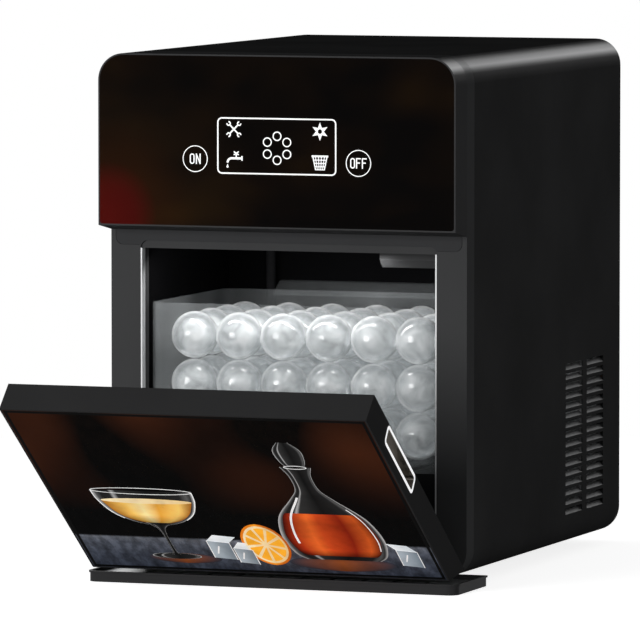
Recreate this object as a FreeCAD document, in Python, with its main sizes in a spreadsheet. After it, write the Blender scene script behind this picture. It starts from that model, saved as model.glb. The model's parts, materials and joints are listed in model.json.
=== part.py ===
import FreeCAD, Part
import math
import os
import re
import Sketcher

# A countertop maker of round ice: a tall cabinet with a glass control head, a bin of ice behind
# a tip-down door, a drip tray under the door, and the ice mould and cooling circuit inside.
# X runs to the right, Y to the rear and Z up. The origin is on the counter, in the middle of
# the width, under the front face of the lower frame.

SIZES = {
    # Cabinet
    "body_width": 390,
    "body_depth": 517,
    "body_top": 547,
    "body_bottom": 11.5,
    "corner_radius": 28,
    "shell_wall": 1,
    "back_inset": 6,
    "panel_sheet": 1.2,
    # Louvres in the right side
    "louvre_start": 328,
    "louvre_length": 57.5,
    "louvre_column_step": 73,
    "louvre_columns": 2,
    "louvre_bottom": 46.5,
    "louvre_step": 10.3,
    "louvre_count": 16,
    "louvre_height": 6.6,
    "louvre_lip_reach": 4,
    "louvre_lip_rise": 4.2,
    # Grille in the back panel
    "grille_slot_width": 110,
    "grille_slot_height": 5,
    "grille_step": 18,
    "grille_count": 6,
    "grille_bottom": 250,
    # Front frame
    "frame_depth": 23.3,
    "frame_wall": 3,
    "opening_width": 324.6,
    "opening_top": 351.8,
    "opening_bottom": 42,
    "opening_corner": 8,
    "lip_set_back": 2,
    "strip_bottom": 347,
    "strip_side": 5,
    "strip_thickness": 1.5,
    "strip_corner": 8,
    "strip_gap": 0.4,
    "trim_thickness": 1.5,
    "trim_depth": 9,
    # Control head
    "head_depth": 36.3,
    "head_bottom": 369,
    "head_drop": 6.2,
    "head_wall": 3,
    "glass_border": 1.6,
    "control_glass_thickness": 3,
    "control_glass_corner": 3,
    "board_sheet": 1.6,
    "display_width": 132,
    "display_height": 60,
    "display_centre_height": 453.5,
    "display_depth": 8,
    "touch_spacing": 178,
    "touch_height": 438.7,
    "touch_radius": 13,
    # Door
    "door_thickness": 33.6,
    "door_length": 344,
    "door_bevel_height": 35.5,
    "door_axis_in": 4,
    "door_axis_up": 4,
    "door_axis_forward": 11,
    "door_axis_height": 20.6,
    "door_open_angle": 54,
    "door_wall": 20,
    "door_web": 3,
    "door_edge": 2,
    "door_glass_thickness": 4,
    "door_liner_sheet": 2.5,
    "gasket_width": 6.5,
    "gasket_inset": 3,
    "gasket_gap": 0.6,
    "grip_length": 103,
    "grip_width": 22,
    "grip_corner": 6,
    "grip_band": 2.6,
    "grip_ring_thickness": 1.2,
    "grip_depth": 14,
    "grip_wall": 1,
    "grip_height": 235.5,
    "grip_inset": 1,
    # Door hinge
    "lug_width": 12,
    "lug_radius": 4.5,
    "lug_plate": 2,
    "lug_plate_height": 18,
    "lug_from_side": 24,
    "lug_clearance": 1,
    "notch_clearance": 2,
    "hinge_pin_radius": 2.2,
    "hinge_pin_length": 30,
    "running_clearance": 0.05,
    # Drip tray
    "tray_overhang": 8,
    "tray_reach": 54.6,
    "tray_back": 44.2,
    "tray_clearance": 0.3,
    "tray_wall": 2,
    "tray_corner": 12,
    "tray_lip": 1.2,
    "tray_lip_height": 2,
    "tray_grille_drop": 4.6,
    "tray_slot_width": 5,
    "tray_slot_step": 34,
    "tray_slot_count": 10,
    "tray_grille_sheet": 1.6,
    # Feet and base
    "foot_radius": 16,
    "foot_sides": 16,
    "foot_from_side": 92,
    "foot_from_front": 78,
    "foot_from_back": 40,
    "base_sheet": 1.5,
    "base_flange": 9,
    # Ice compartment
    "liner_wall": 2,
    "liner_back": 262,
    "liner_top": 372,
    "foam_back": 28,
    "shelf_height": 112.5,
    "shelf_thickness": 5,
    "shelf_front": 8,
    "shelf_slot_width": 12,
    "shelf_slot_step": 34,
    "shelf_slot_count": 8,
    "cover_thickness": 3,
    "bin_side_gap": 4.3,
    "bin_front": 12,
    "bin_depth": 224,
    "bin_top": 286.4,
    "bin_floor": 125.8,
    "bin_wall": 2.5,
    "bin_corner": 14,
    "chute_side_gap": 12.3,
    "chute_rise": 13,
    "chute_sheet": 1.6,
    "chute_gap": 1,
    "chute_drop": 6,
    "sensor_left": 90,
    "sensor_front": 30,
    "sensor_depth": 30,
    "sensor_bottom": 327,
    "sensor_height": 24.5,
    # Water circuit
    "tank_side_gap": 14.3,
    "tank_front": 20,
    "tank_back": 236,
    "tank_height": 60,
    "tank_wall": 2.5,
    "pump_radius": 17,
    "pump_across": 110,
    "pump_inset": 22,
    "pump_height": 40,
    "riser_radius": 5,
    "riser_wall": 1.2,
    "swivel_width": 18,
    "swivel_radius": 9,
    # Ice mould
    "mould_width": 176,
    "mould_front": 48,
    "mould_back": 232,
    "mould_thickness": 27,
    "mould_bottom": 344.5,
    "mould_parting": 0.5,
    "mould_axis_y": 249,
    "mould_axis_z": 357,
    "mould_ear": 9,
    "cup_radius": 25,
    "cup_step_x": 57,
    "cup_step_y": 59,
    "cup_columns": 3,
    "cup_rows": 3,
    "cup_sides": 10,
    "cup_rings": 3,
    "cup_ring_turn": 25,
    "trunnion_radius": 5,
    "trunnion_length": 22,
    "coil_runs": 5,
    "coil_channel": 18,
    "coil_gap": 14,
    "coil_height": 8,
    "housing_top": 470,
    "housing_wall": 12,
    "post_radius": 4,
    "post_inset": 12,
    "motor_width": 44,
    "motor_radius": 20,
    # Cooling circuit
    "compressor_radius": 52,
    "compressor_height": 150,
    "compressor_from_side": 110,
    "compressor_y": 410,
    "compressor_plate": 3,
    "compressor_ear": 130,
    "grommet_radius": 9,
    "grommet_height": 9,
    "grommet_step": 100,
    "condenser_front": 322,
    "condenser_length": 143,
    "condenser_bottom": 40,
    "condenser_height": 176,
    "condenser_thickness": 26,
    "condenser_gap": 9,
    "fin_count": 7,
    "fin_sheet": 1,
    "condenser_tube_depth": 18,
    "condenser_tube_height": 3,
    "condenser_tube_count": 4,
    "fan_radius": 58,
    "fan_tip_gap": 4,
    "fan_hub_radius": 18,
    "fan_width": 18,
    "fan_blades": 5,
    "fan_blade_pitch": 32,
    "fan_blade_sheet": 2,
    "shroud_sheet": 2,
    "shroud_depth": 26,
    "fan_motor_radius": 22,
    "fan_motor_length": 30,
    "fan_motor_gap": 3,
    "fan_shaft_radius": 3,
    "fan_arm_width": 8,
    "drier_radius": 11,
    "drier_length": 82,
    "pipe_radius": 3.2,
    "pipe_sides": 8,
    "barrel_sides": 16,
    "valve_body": 18,
    "valve_coil_radius": 14,
    # Electrics and connections
    "board_width": 120,
    "board_height": 90,
    "board_depth": 34,
    "board_bottom": 400,
    "inlet_width": 28,
    "inlet_height": 24,
    "inlet_depth": 22,
    "inlet_flange": 5,
    "inlet_wall": 2,
    "inlet_from_side": 65,
    "inlet_centre_height": 70,
    "water_inlet_from_side": 135,
    "water_inlet_height": 76,
    "water_inlet_radius": 12,
    "water_inlet_reach": 16,
    "water_inlet_body": 34,
}

doc = FreeCAD.newDocument("RoundIceMaker")
sheet = doc.addObject("Spreadsheet::Sheet", "dims")
for row, (alias, size) in enumerate(SIZES.items(), start=1):
    sheet.set(f"A{row}", alias)
    sheet.set(f"B{row}", str(size))
    sheet.setAlias(f"B{row}", alias)
gauge = doc.addObject("App::FeaturePython", "gauge")
gauge.addProperty("App::PropertyFloat", "reading")
doc.recompute()

nodes = []


# Sizes and places

def formula(text):
    """A size formula in plain words, such as "body_width / 2", tied to the cells of the sheet."""
    return re.sub(r"[a-z][a-z_]*", lambda word: "dims." + word[0] if word[0] in SIZES else word[0], str(text))


def value(text):
    """What a size formula comes to now."""
    gauge.setExpression("reading", formula(text))
    doc.recompute([gauge])
    return gauge.reading


def tie(item, name, text):
    item.setExpression(name, formula(text))


def place(item, x="0", y="0", z="0"):
    tie(item, "Placement.Base.x", x)
    tie(item, "Placement.Base.y", y)
    tie(item, "Placement.Base.z", z)
    return item


def node(item, label):
    """Marks a finished piece, which gets its own name and its own file."""
    item.Label = label
    nodes.append(item)
    return item


# Simple solids and what is made of them

def block(name, x, y, z):
    """A block between two places on each axis."""
    item = doc.addObject("Part::Box", name)
    for side, ends in (("Length", x), ("Width", y), ("Height", z)):
        tie(item, side, f"({ends[1]}) - ({ends[0]})")
    return place(item, x[0], y[0], z[0])


LYING = {
    "x": FreeCAD.Rotation(FreeCAD.Vector(0, 1, 0), 90),
    "y": FreeCAD.Rotation(FreeCAD.Vector(1, 0, 0), -90),
    "z": FreeCAD.Rotation(),
}


def rod(name, axis, centre, radius, length):
    """A round bar that starts at a centre and runs along an axis."""
    item = doc.addObject("Part::Cylinder", name)
    item.Placement = FreeCAD.Placement(FreeCAD.Vector(), LYING[axis])
    tie(item, "Radius", radius)
    tie(item, "Height", length)
    return place(item, *centre)


def prism(name, axis, centre, sides, radius, length):
    """A bar with flat sides that starts at a centre and runs along an axis."""
    item = doc.addObject("Part::Prism", name)
    item.Placement = FreeCAD.Placement(FreeCAD.Vector(), LYING[axis])
    tie(item, "Polygon", sides)
    tie(item, "Circumradius", radius)
    tie(item, "Height", length)
    return place(item, *centre)


def joined(name, items):
    whole = doc.addObject("Part::MultiFuse", name)
    whole.Shapes = items
    return whole


def cut(name, base, tools):
    rest = doc.addObject("Part::Cut", name)
    rest.Base = base
    rest.Tool = tools[0] if len(tools) == 1 else joined(name + "_tools", tools)
    return rest


def loose(name, items):
    """Several like pieces of one kind that stay separate solids."""
    whole = doc.addObject("Part::Compound", name)
    whole.Links = items
    return whole


def mirrored(name, item):
    """The same piece on the other side of the machine's middle."""
    other = doc.addObject("Part::Mirroring", name)
    other.Source = item
    other.Normal = (1, 0, 0)
    return other


# Bodies of sketches and features

PLANES = {"top": "XY_Plane", "front": "XZ_Plane", "side": "YZ_Plane"}
AXES = {"x": "X_Axis", "y": "Y_Axis", "z": "Z_Axis"}


def new_body(name):
    return doc.addObject("PartDesign::Body", name)


def origin_part(body, role):
    return next(part for part in body.Origin.OriginFeatures if part.Role == role)


def sketch(body, plane, level="0"):
    """A drawing on one of the body's planes, moved to a level along that plane's world axis."""
    drawing = body.newObject("Sketcher::SketchObject", f"{body.Name}_{plane}")
    drawing.AttachmentSupport = (origin_part(body, PLANES[plane]), [""])
    drawing.MapMode = "FlatFace"
    tie(drawing, "AttachmentOffset.Base.z", f"-({level})" if plane == "front" else level)
    return drawing


def pin_down(drawing, geometry, point, across, up):
    """Ties one point of a drawing to its two places, either of which may be left free."""
    # A drawing counts its sideways axis, which holds the origin point, as -1 and its upright axis as -2
    for kind, axis, text in (("DistanceX", -2, across), ("DistanceY", -1, up)):
        if text is None:
            continue
        if str(text) == "0":
            drawing.addConstraint(Sketcher.Constraint("PointOnObject", geometry, point, axis))
            continue
        tied = drawing.addConstraint(
            Sketcher.Constraint(kind, -1, 1, geometry, point, value(text)))
        tie(drawing, f"Constraints[{tied}]", text)


def outline(drawing, left, right, bottom, top, lower=None, upper=None):
    """Four sides with lower and upper corners that are sharp, or round with a radius."""
    l, r, b, t = (value(side) for side in (left, right, bottom, top))
    low = value(lower) if lower else 0
    high = value(upper) if upper else 0
    ends = (
        ((l + low, b), (r - low, b)),
        ((r, b + low), (r, t - high)),
        ((r - high, t), (l + high, t)),
        ((l, t - high), (l, b + low)),
    )
    sides = []
    for (x0, y0), (x1, y1) in ends:
        line = Part.LineSegment(FreeCAD.Vector(x0, y0, 0), FreeCAD.Vector(x1, y1, 0))
        sides.append(drawing.addGeometry(line, False))
    for number, direction in enumerate(("Horizontal", "Vertical", "Horizontal", "Vertical")):
        drawing.addConstraint(Sketcher.Constraint(direction, sides[number]))
    corners = (
        (0, 1, (r - low, b + low), lower),
        (1, 2, (r - high, t - high), upper),
        (2, 3, (l + high, t - high), upper),
        (3, 0, (l + low, b + low), lower),
    )
    for first, second, centre, radius in corners:
        if radius is None:
            drawing.addConstraint(Sketcher.Constraint("Coincident", sides[first], 2, sides[second], 1))
            continue
        circle = Part.Circle(FreeCAD.Vector(*centre, 0), FreeCAD.Vector(0, 0, 1), value(radius))
        turn = ((first - 1) * math.pi / 2, first * math.pi / 2)
        arc = drawing.addGeometry(Part.ArcOfCircle(circle, *turn), False)
        drawing.addConstraint(Sketcher.Constraint("Tangent", sides[first], 2, arc, 1))
        drawing.addConstraint(Sketcher.Constraint("Tangent", arc, 2, sides[second], 1))
        tied = drawing.addConstraint(Sketcher.Constraint("Radius", arc, value(radius)))
        tie(drawing, f"Constraints[{tied}]", radius)
    pin_down(drawing, sides[0], 1, None, bottom)
    pin_down(drawing, sides[1], 1, right, None)
    pin_down(drawing, sides[2], 1, None, top)
    pin_down(drawing, sides[3], 1, left, None)
    return drawing


def circle(drawing, across, up, radius):
    ring = Part.Circle(FreeCAD.Vector(value(across), value(up), 0), FreeCAD.Vector(0, 0, 1), value(radius))
    index = drawing.addGeometry(ring, False)
    tied = drawing.addConstraint(Sketcher.Constraint("Radius", index, value(radius)))
    tie(drawing, f"Constraints[{tied}]", radius)
    pin_down(drawing, index, 3, across, up)
    return drawing


def profile(drawing, points):
    """A closed outline of straight sides through tied points."""
    spots = [FreeCAD.Vector(value(across), value(up), 0) for across, up in points]
    sides = []
    for number, spot in enumerate(spots):
        following = spots[(number + 1) % len(spots)]
        sides.append(drawing.addGeometry(Part.LineSegment(spot, following), False))
    for number, side in enumerate(sides):
        following = sides[(number + 1) % len(sides)]
        drawing.addConstraint(Sketcher.Constraint("Coincident", side, 2, following, 1))
        pin_down(drawing, side, 1, *points[number])
    return drawing


def finish_feature(body, feature, grows):
    """Rebuilds the body and checks that the feature added or took away material."""
    before = body.Shape.Volume if body.Tip and not body.Shape.isNull() else 0
    body.Tip = feature
    doc.recompute()
    change = body.Shape.Volume - before
    if (change > 0) != grows or change == 0:
        raise RuntimeError(f"{feature.Name} changed its body by {change:.3f} cubic mm")
    return feature


def pad(body, drawing, length, towards="+"):
    """Material from a drawing to one side of it along the world axis."""
    feature = body.newObject("PartDesign::Pad", body.Name + "_pad")
    feature.Profile = drawing
    tie(feature, "Length", length)
    on_front = "XZ_Plane" == drawing.AttachmentSupport[0][0].Role
    feature.Reversed = (towards == "+") == on_front
    return finish_feature(body, feature, True)


def pocket(body, drawing, depth, towards="-"):
    """A cut from a drawing to one side of it along the world axis."""
    feature = body.newObject("PartDesign::Pocket", body.Name + "_pocket")
    feature.Profile = drawing
    tie(feature, "Length", depth)
    on_front = "XZ_Plane" == drawing.AttachmentSupport[0][0].Role
    feature.Reversed = (towards == "+") != on_front
    return finish_feature(body, feature, False)


def row(body, features, axis, step, count, grows):
    """Copies of features in a straight row."""
    feature = body.newObject("PartDesign::LinearPattern", body.Name + "_row")
    feature.Originals = features
    feature.Direction = (origin_part(body, AXES[axis]), [""])
    tie(feature, "Length", f"({step}) * (({count}) - 1)")
    tie(feature, "Occurrences", count)
    return finish_feature(body, feature, grows)


def around(body, features, axis, count, grows):
    """Copies of features round an axis of the body."""
    feature = body.newObject("PartDesign::PolarPattern", body.Name + "_round")
    feature.Originals = features
    feature.Axis = (origin_part(body, AXES[axis]), [""])
    feature.Angle = 360
    tie(feature, "Occurrences", count)
    return finish_feature(body, feature, grows)


def rounded(body, radius, wanted):
    """Rounds the edges of the body that a test picks out."""
    carrier = body.Tip
    names = [f"Edge{n}" for n, edge in enumerate(carrier.Shape.Edges, start=1) if wanted(edge)]
    feature = body.newObject("PartDesign::Fillet", body.Name + "_rounded")
    feature.Base = (carrier, names)
    tie(feature, "Radius", radius)
    body.Tip = feature
    doc.recompute()
    return feature


def runs_along(edge, axis):
    """Whether an edge is straight and runs along one world axis."""
    if not isinstance(edge.Curve, (Part.Line, Part.LineSegment)):
        return False
    direction = edge.Vertexes[-1].Point - edge.Vertexes[0].Point
    return abs(direction.normalize().dot(axis)) > 0.999


ALONG_X = FreeCAD.Vector(1, 0, 0)
ALONG_Y = FreeCAD.Vector(0, 1, 0)

# Places that several pieces share
SIDE_IN = "(body_width / 2 - shell_wall)"
FLOOR_IN = "(body_bottom + shell_wall)"
PAN_TOP = "(body_bottom + shell_wall + base_sheet)"
BACK_FACE = "(body_depth - back_inset)"
LINER_SIDE = "(opening_width / 2 + liner_wall)"
PAN_SIDE_IN = "(body_width / 2 - corner_radius - base_sheet)"
INLET_ACROSS = "(body_width / 2 - inlet_from_side)"
WATER_ACROSS = "(body_width / 2 - water_inlet_from_side)"
COMP_ACROSS = "(body_width / 2 - compressor_from_side)"
FOAM_END = "(liner_back + liner_wall + foam_back)"
SHELF_TOP = "(shelf_height + shelf_thickness)"


# Cabinet

def make_shell():
    """One wrapped sheet with rounded edges, and a hooded louvre field in its right side."""
    body = new_body("outer_shell_body")
    outer = outline(sketch(body, "front", "frame_depth"), "-body_width / 2", "body_width / 2",
                    "body_bottom", "body_top", "corner_radius", "corner_radius")
    pad(body, outer, "body_depth - frame_depth")
    inner = outline(sketch(body, "front", "frame_depth"), f"-{SIDE_IN}", SIDE_IN,
                    FLOOR_IN, "body_top - shell_wall",
                    "corner_radius - shell_wall", "corner_radius - shell_wall")
    pocket(body, inner, "body_depth - frame_depth", "+")
    for column in range(round(value("louvre_columns"))):
        start = f"louvre_start + {column} * louvre_column_step"
        slot = outline(sketch(body, "side", "body_width / 2"), start, f"{start} + louvre_length",
                       "louvre_bottom", "louvre_bottom + louvre_height")
        opened = pocket(body, slot, "shell_wall + 0.5", "-")
        row(body, [opened], "z", "louvre_step", "louvre_count", False)
        lip = profile(sketch(body, "front", start), [
            ("body_width / 2 - shell_wall", "louvre_bottom - shell_wall"),
            ("body_width / 2", "louvre_bottom - shell_wall"),
            ("body_width / 2", "louvre_bottom"),
            ("body_width / 2 - louvre_lip_reach", "louvre_bottom + louvre_lip_rise"),
            ("body_width / 2 - louvre_lip_reach - shell_wall", "louvre_bottom + louvre_lip_rise - shell_wall"),
        ])
        raised = pad(body, lip, "louvre_length")
        row(body, [raised], "z", "louvre_step", "louvre_count", True)
    node(body, "outer_shell")


def make_back_panel():
    """A flat sheet set into the shell, with a field of air slots and holes for the connections."""
    body = new_body("back_panel_body")
    sheet_outline = outline(sketch(body, "front", BACK_FACE), f"-{SIDE_IN}", SIDE_IN,
                            FLOOR_IN, "body_top - shell_wall",
                            "corner_radius - shell_wall", "corner_radius - shell_wall")
    pad(body, sheet_outline, "panel_sheet")
    for side in ("-1", "1"):
        middle = f"{side} * body_width / 4"
        slot = outline(sketch(body, "front", BACK_FACE),
                       f"{middle} - grille_slot_width / 2", f"{middle} + grille_slot_width / 2",
                       "grille_bottom", "grille_bottom + grille_slot_height")
        opened = pocket(body, slot, "panel_sheet", "+")
        row(body, [opened], "z", "grille_step", "grille_count", False)
    holes = sketch(body, "front", BACK_FACE)
    outline(holes, f"{INLET_ACROSS} - inlet_width / 2", f"{INLET_ACROSS} + inlet_width / 2",
            "inlet_centre_height - inlet_height / 2", "inlet_centre_height + inlet_height / 2")
    circle(holes, f"-{WATER_ACROSS}", "water_inlet_height", "water_inlet_radius")
    pocket(body, holes, "panel_sheet", "+")
    node(body, "back_panel")


def make_base():
    """The pan that carries the cold compartment and the compressor, and four rubber feet."""
    body = new_body("base_pan_body")
    half = "body_width / 2 - corner_radius"
    pan = outline(sketch(body, "top", FLOOR_IN), f"-({half})", half, "frame_depth", BACK_FACE)
    pad(body, pan, "base_sheet + base_flange")
    hollow = outline(sketch(body, "top", f"{PAN_TOP} + base_flange"), f"-{PAN_SIDE_IN}", PAN_SIDE_IN,
                     "frame_depth - base_sheet", f"{BACK_FACE} - base_sheet")
    pocket(body, hollow, "base_flange", "-")
    node(body, "base_pan")

    feet = []
    across = "body_width / 2 - foot_from_side"
    for depth in ("foot_from_front", "body_depth - foot_from_back"):
        for side in ("-1", "1"):
            feet.append(prism("foot", "z", (f"{side} * ({across})", depth, "0"), "foot_sides", "foot_radius",
                              "body_bottom"))
    node(loose("feet_set", feet), "feet")


def make_front_frame():
    """The moulded frame: a front plate with the ice opening, whose top is a lip set back from the
    plate, an outer wall and an inner reveal."""
    body = new_body("front_frame_body")
    whole = outline(sketch(body, "front"), "-body_width / 2", "body_width / 2",
                    "body_bottom", "body_top", "corner_radius", "corner_radius")
    pad(body, whole, "frame_depth")
    opening = outline(sketch(body, "front"), "-opening_width / 2", "opening_width / 2",
                      "opening_bottom", "opening_top", None, "opening_corner")
    pocket(body, opening, "lip_set_back", "+")
    passage = outline(sketch(body, "front", "lip_set_back"), "-opening_width / 2", "opening_width / 2",
                      "opening_bottom", "opening_top - opening_corner")
    pocket(body, passage, "frame_depth - lip_set_back", "+")
    hollow = sketch(body, "front", "frame_wall")
    outline(hollow, "-(body_width / 2 - frame_wall)", "body_width / 2 - frame_wall",
            "body_bottom + frame_wall", "body_top - frame_wall",
            "corner_radius - frame_wall", "corner_radius - frame_wall")
    outline(hollow, "-(opening_width / 2 + frame_wall)", "opening_width / 2 + frame_wall",
            "opening_bottom - frame_wall", "opening_top + frame_wall")
    pocket(body, hollow, "frame_depth - frame_wall", "+")
    seat = outline(sketch(body, "front"), "-(body_width / 2 - strip_side)", "body_width / 2 - strip_side",
                   "strip_bottom", "head_bottom - head_drop", "strip_corner", None)
    pocket(body, seat, "strip_thickness", "+")
    node(body, "front_frame")


def make_strip_and_trims():
    """The thin panel over the opening, and a bright metal strip down each side of it."""
    body = new_body("frame_top_strip_body")
    half = "body_width / 2 - strip_side - strip_gap"
    panel = outline(sketch(body, "front"), f"-({half})", half, "strip_bottom + strip_gap",
                    "head_bottom - head_drop", "strip_corner - strip_gap", None)
    pad(body, panel, "strip_thickness")
    opening = outline(sketch(body, "front"), "-opening_width / 2", "opening_width / 2",
                      "opening_bottom", "opening_top", None, "opening_corner")
    pocket(body, opening, "strip_thickness", "+")
    node(body, "frame_top_strip")

    trim = block("trim", ("opening_width / 2 - trim_thickness", "opening_width / 2"), ("0", "trim_depth"),
                 ("opening_bottom", "opening_top - opening_corner"))
    node(loose("trims_set", [trim, mirrored("trim_left", trim)]), "opening_trims")


# Control head

def make_head():
    """The black housing over the door, its underside sloped so that the door's top fits below it."""
    body = new_body("head_housing_body")
    side = profile(sketch(body, "side", "-body_width / 2"), [
        ("0", "head_bottom - head_drop"),
        ("0", "body_top"),
        ("-head_depth", "body_top"),
        ("-head_depth", "head_bottom"),
    ])
    pad(body, side, "body_width")
    top = value("body_top")
    rounded(body, "corner_radius", lambda edge: runs_along(edge, ALONG_Y)
            and min(vertex.Z for vertex in edge.Vertexes) > top - 0.1)
    hollow = outline(sketch(body, "front"), "-(body_width / 2 - head_wall)", "body_width / 2 - head_wall",
                     "head_bottom + head_wall", "body_top - head_wall",
                     "head_wall", "corner_radius - head_wall")
    pocket(body, hollow, "head_depth - control_glass_thickness - head_wall", "-")
    glass_seat = outline(sketch(body, "front", "-head_depth"),
                         "-(body_width / 2 - glass_border)", "body_width / 2 - glass_border",
                         "head_bottom + glass_border", "body_top - glass_border",
                         "control_glass_corner", "corner_radius - glass_border")
    pocket(body, glass_seat, "control_glass_thickness", "+")
    window = sketch(body, "front", "-head_depth + control_glass_thickness")
    outline(window, "-display_width / 2", "display_width / 2",
            "display_centre_height - display_height / 2", "display_centre_height + display_height / 2")
    for side_sign in ("-1", "1"):
        outline(window, f"{side_sign} * touch_spacing / 2 - touch_radius",
                f"{side_sign} * touch_spacing / 2 + touch_radius",
                "touch_height - touch_radius", "touch_height + touch_radius")
    pocket(body, window, "head_wall", "+")
    node(body, "head_housing")

    glass = new_body("control_glass_body")
    pane = outline(sketch(glass, "front", "-head_depth"),
                   "-(body_width / 2 - glass_border)", "body_width / 2 - glass_border",
                   "head_bottom + glass_border", "body_top - glass_border",
                   "control_glass_corner", "corner_radius - glass_border")
    pad(glass, pane, "control_glass_thickness")
    node(glass, "control_glass")


def make_head_electronics():
    """The display module, the two touch pads and the board behind the control glass."""
    glass_back = "-head_depth + control_glass_thickness"
    board_front = f"{glass_back} + display_depth"
    node(block("display_block", ("-display_width / 2", "display_width / 2"), (glass_back, board_front),
               ("display_centre_height - display_height / 2", "display_centre_height + display_height / 2")),
         "display_module")
    pads = []
    for side in ("-1", "1"):
        middle = f"{side} * touch_spacing / 2"
        pads.append(block("touch_pad", (f"{middle} - touch_radius", f"{middle} + touch_radius"),
                          (glass_back, board_front), ("touch_height - touch_radius", "touch_height + touch_radius")))
    node(loose("touch_pads", pads), "touch_sensors")
    body = new_body("control_board_body")
    plate = outline(sketch(body, "front", board_front), "-touch_spacing / 2 - touch_radius",
                    "touch_spacing / 2 + touch_radius", "touch_height - touch_radius",
                    "display_centre_height + display_height / 2")
    pad(body, plate, "board_sheet")
    node(body, "control_board")


# Door, drawn shut, with its hinge axis as the body's X axis

REAR = "door_axis_in"
FRONT = "(door_axis_in - door_thickness)"
FOOT = "-door_axis_up"
GLASS_BACK = "(door_axis_in - door_thickness + door_glass_thickness)"
HALF_DOOR = "body_width / 2"
DOOR_TOP = "(door_length - door_axis_up)"
GRIP_MIDDLE = "(door_axis_in - grip_inset - grip_width / 2)"
LUG_MIDDLE = "(body_width / 2 - lug_from_side)"
LINER_TOP = "(door_length - door_axis_up - door_wall)"
LINER_FOOT = "(door_bevel_height + door_axis_up)"


def hang(item):
    """Puts a door piece on the hinge axis, tipped open by the door's angle."""
    item.Placement = FreeCAD.Placement(FreeCAD.Vector(), FreeCAD.Rotation(ALONG_X, 1))
    tie(item, "Placement.Rotation.Angle", "door_open_angle")
    return place(item, "0", "-door_axis_forward", "door_axis_height")


def grip_outline(drawing, inset):
    """The grip recess seen from the side, or the same shape set in all round."""
    return outline(drawing, f"{GRIP_MIDDLE} - grip_width / 2 + {inset}", f"{GRIP_MIDDLE} + grip_width / 2 - {inset}",
                   f"grip_height - grip_length / 2 + {inset}", f"grip_height + grip_length / 2 - {inset}",
                   f"grip_corner - {inset}", f"grip_corner - {inset}")


def make_door_casing():
    """The door's moulded casing, bevelled below, with a seat for the glass, a hollow back,
    a grip recess in each side and a notch round each hinge lug."""
    body = new_body("door_casing_body")
    side = profile(sketch(body, "side", f"-{HALF_DOOR}"), [
        (REAR, FOOT),
        (REAR, DOOR_TOP),
        (FRONT, f"{DOOR_TOP} + head_drop"),
        (FRONT, "door_bevel_height - door_axis_up"),
    ])
    pad(body, side, "body_width")
    seat = outline(sketch(body, "front", FRONT), f"-({HALF_DOOR} - door_edge)", f"{HALF_DOOR} - door_edge",
                   "door_bevel_height - door_axis_up + door_edge", f"{DOOR_TOP} + head_drop - door_edge")
    pocket(body, seat, "door_glass_thickness", "+")
    hollow = outline(sketch(body, "front", REAR), f"-({HALF_DOOR} - door_wall)", f"{HALF_DOOR} - door_wall",
                     LINER_FOOT, LINER_TOP)
    pocket(body, hollow, "door_thickness - door_glass_thickness - door_web", "-")
    for sign, inward in (("-1", "+"), ("1", "-")):
        for inset, depth in (("0 * grip_band", "grip_ring_thickness"), ("grip_band", "grip_depth")):
            pocket(body, grip_outline(sketch(body, "side", f"{sign} * {HALF_DOOR}"), inset), depth, inward)
        start = f"{sign} * {LUG_MIDDLE} - lug_width / 2 - lug_clearance"
        notch = outline(sketch(body, "side", start), "-lug_radius - notch_clearance",
                        "door_axis_in + notch_clearance", "-door_axis_up - notch_clearance",
                        "lug_radius + notch_clearance")
        pocket(body, notch, "lug_width + 2 * lug_clearance", "+")
        hole = circle(sketch(body, "side", f"{sign} * {LUG_MIDDLE} - hinge_pin_length / 2"),
                      "0", "0", "hinge_pin_radius")
        pocket(body, hole, "hinge_pin_length", "+")
    hang(body)
    node(body, "door_casing")


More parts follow.
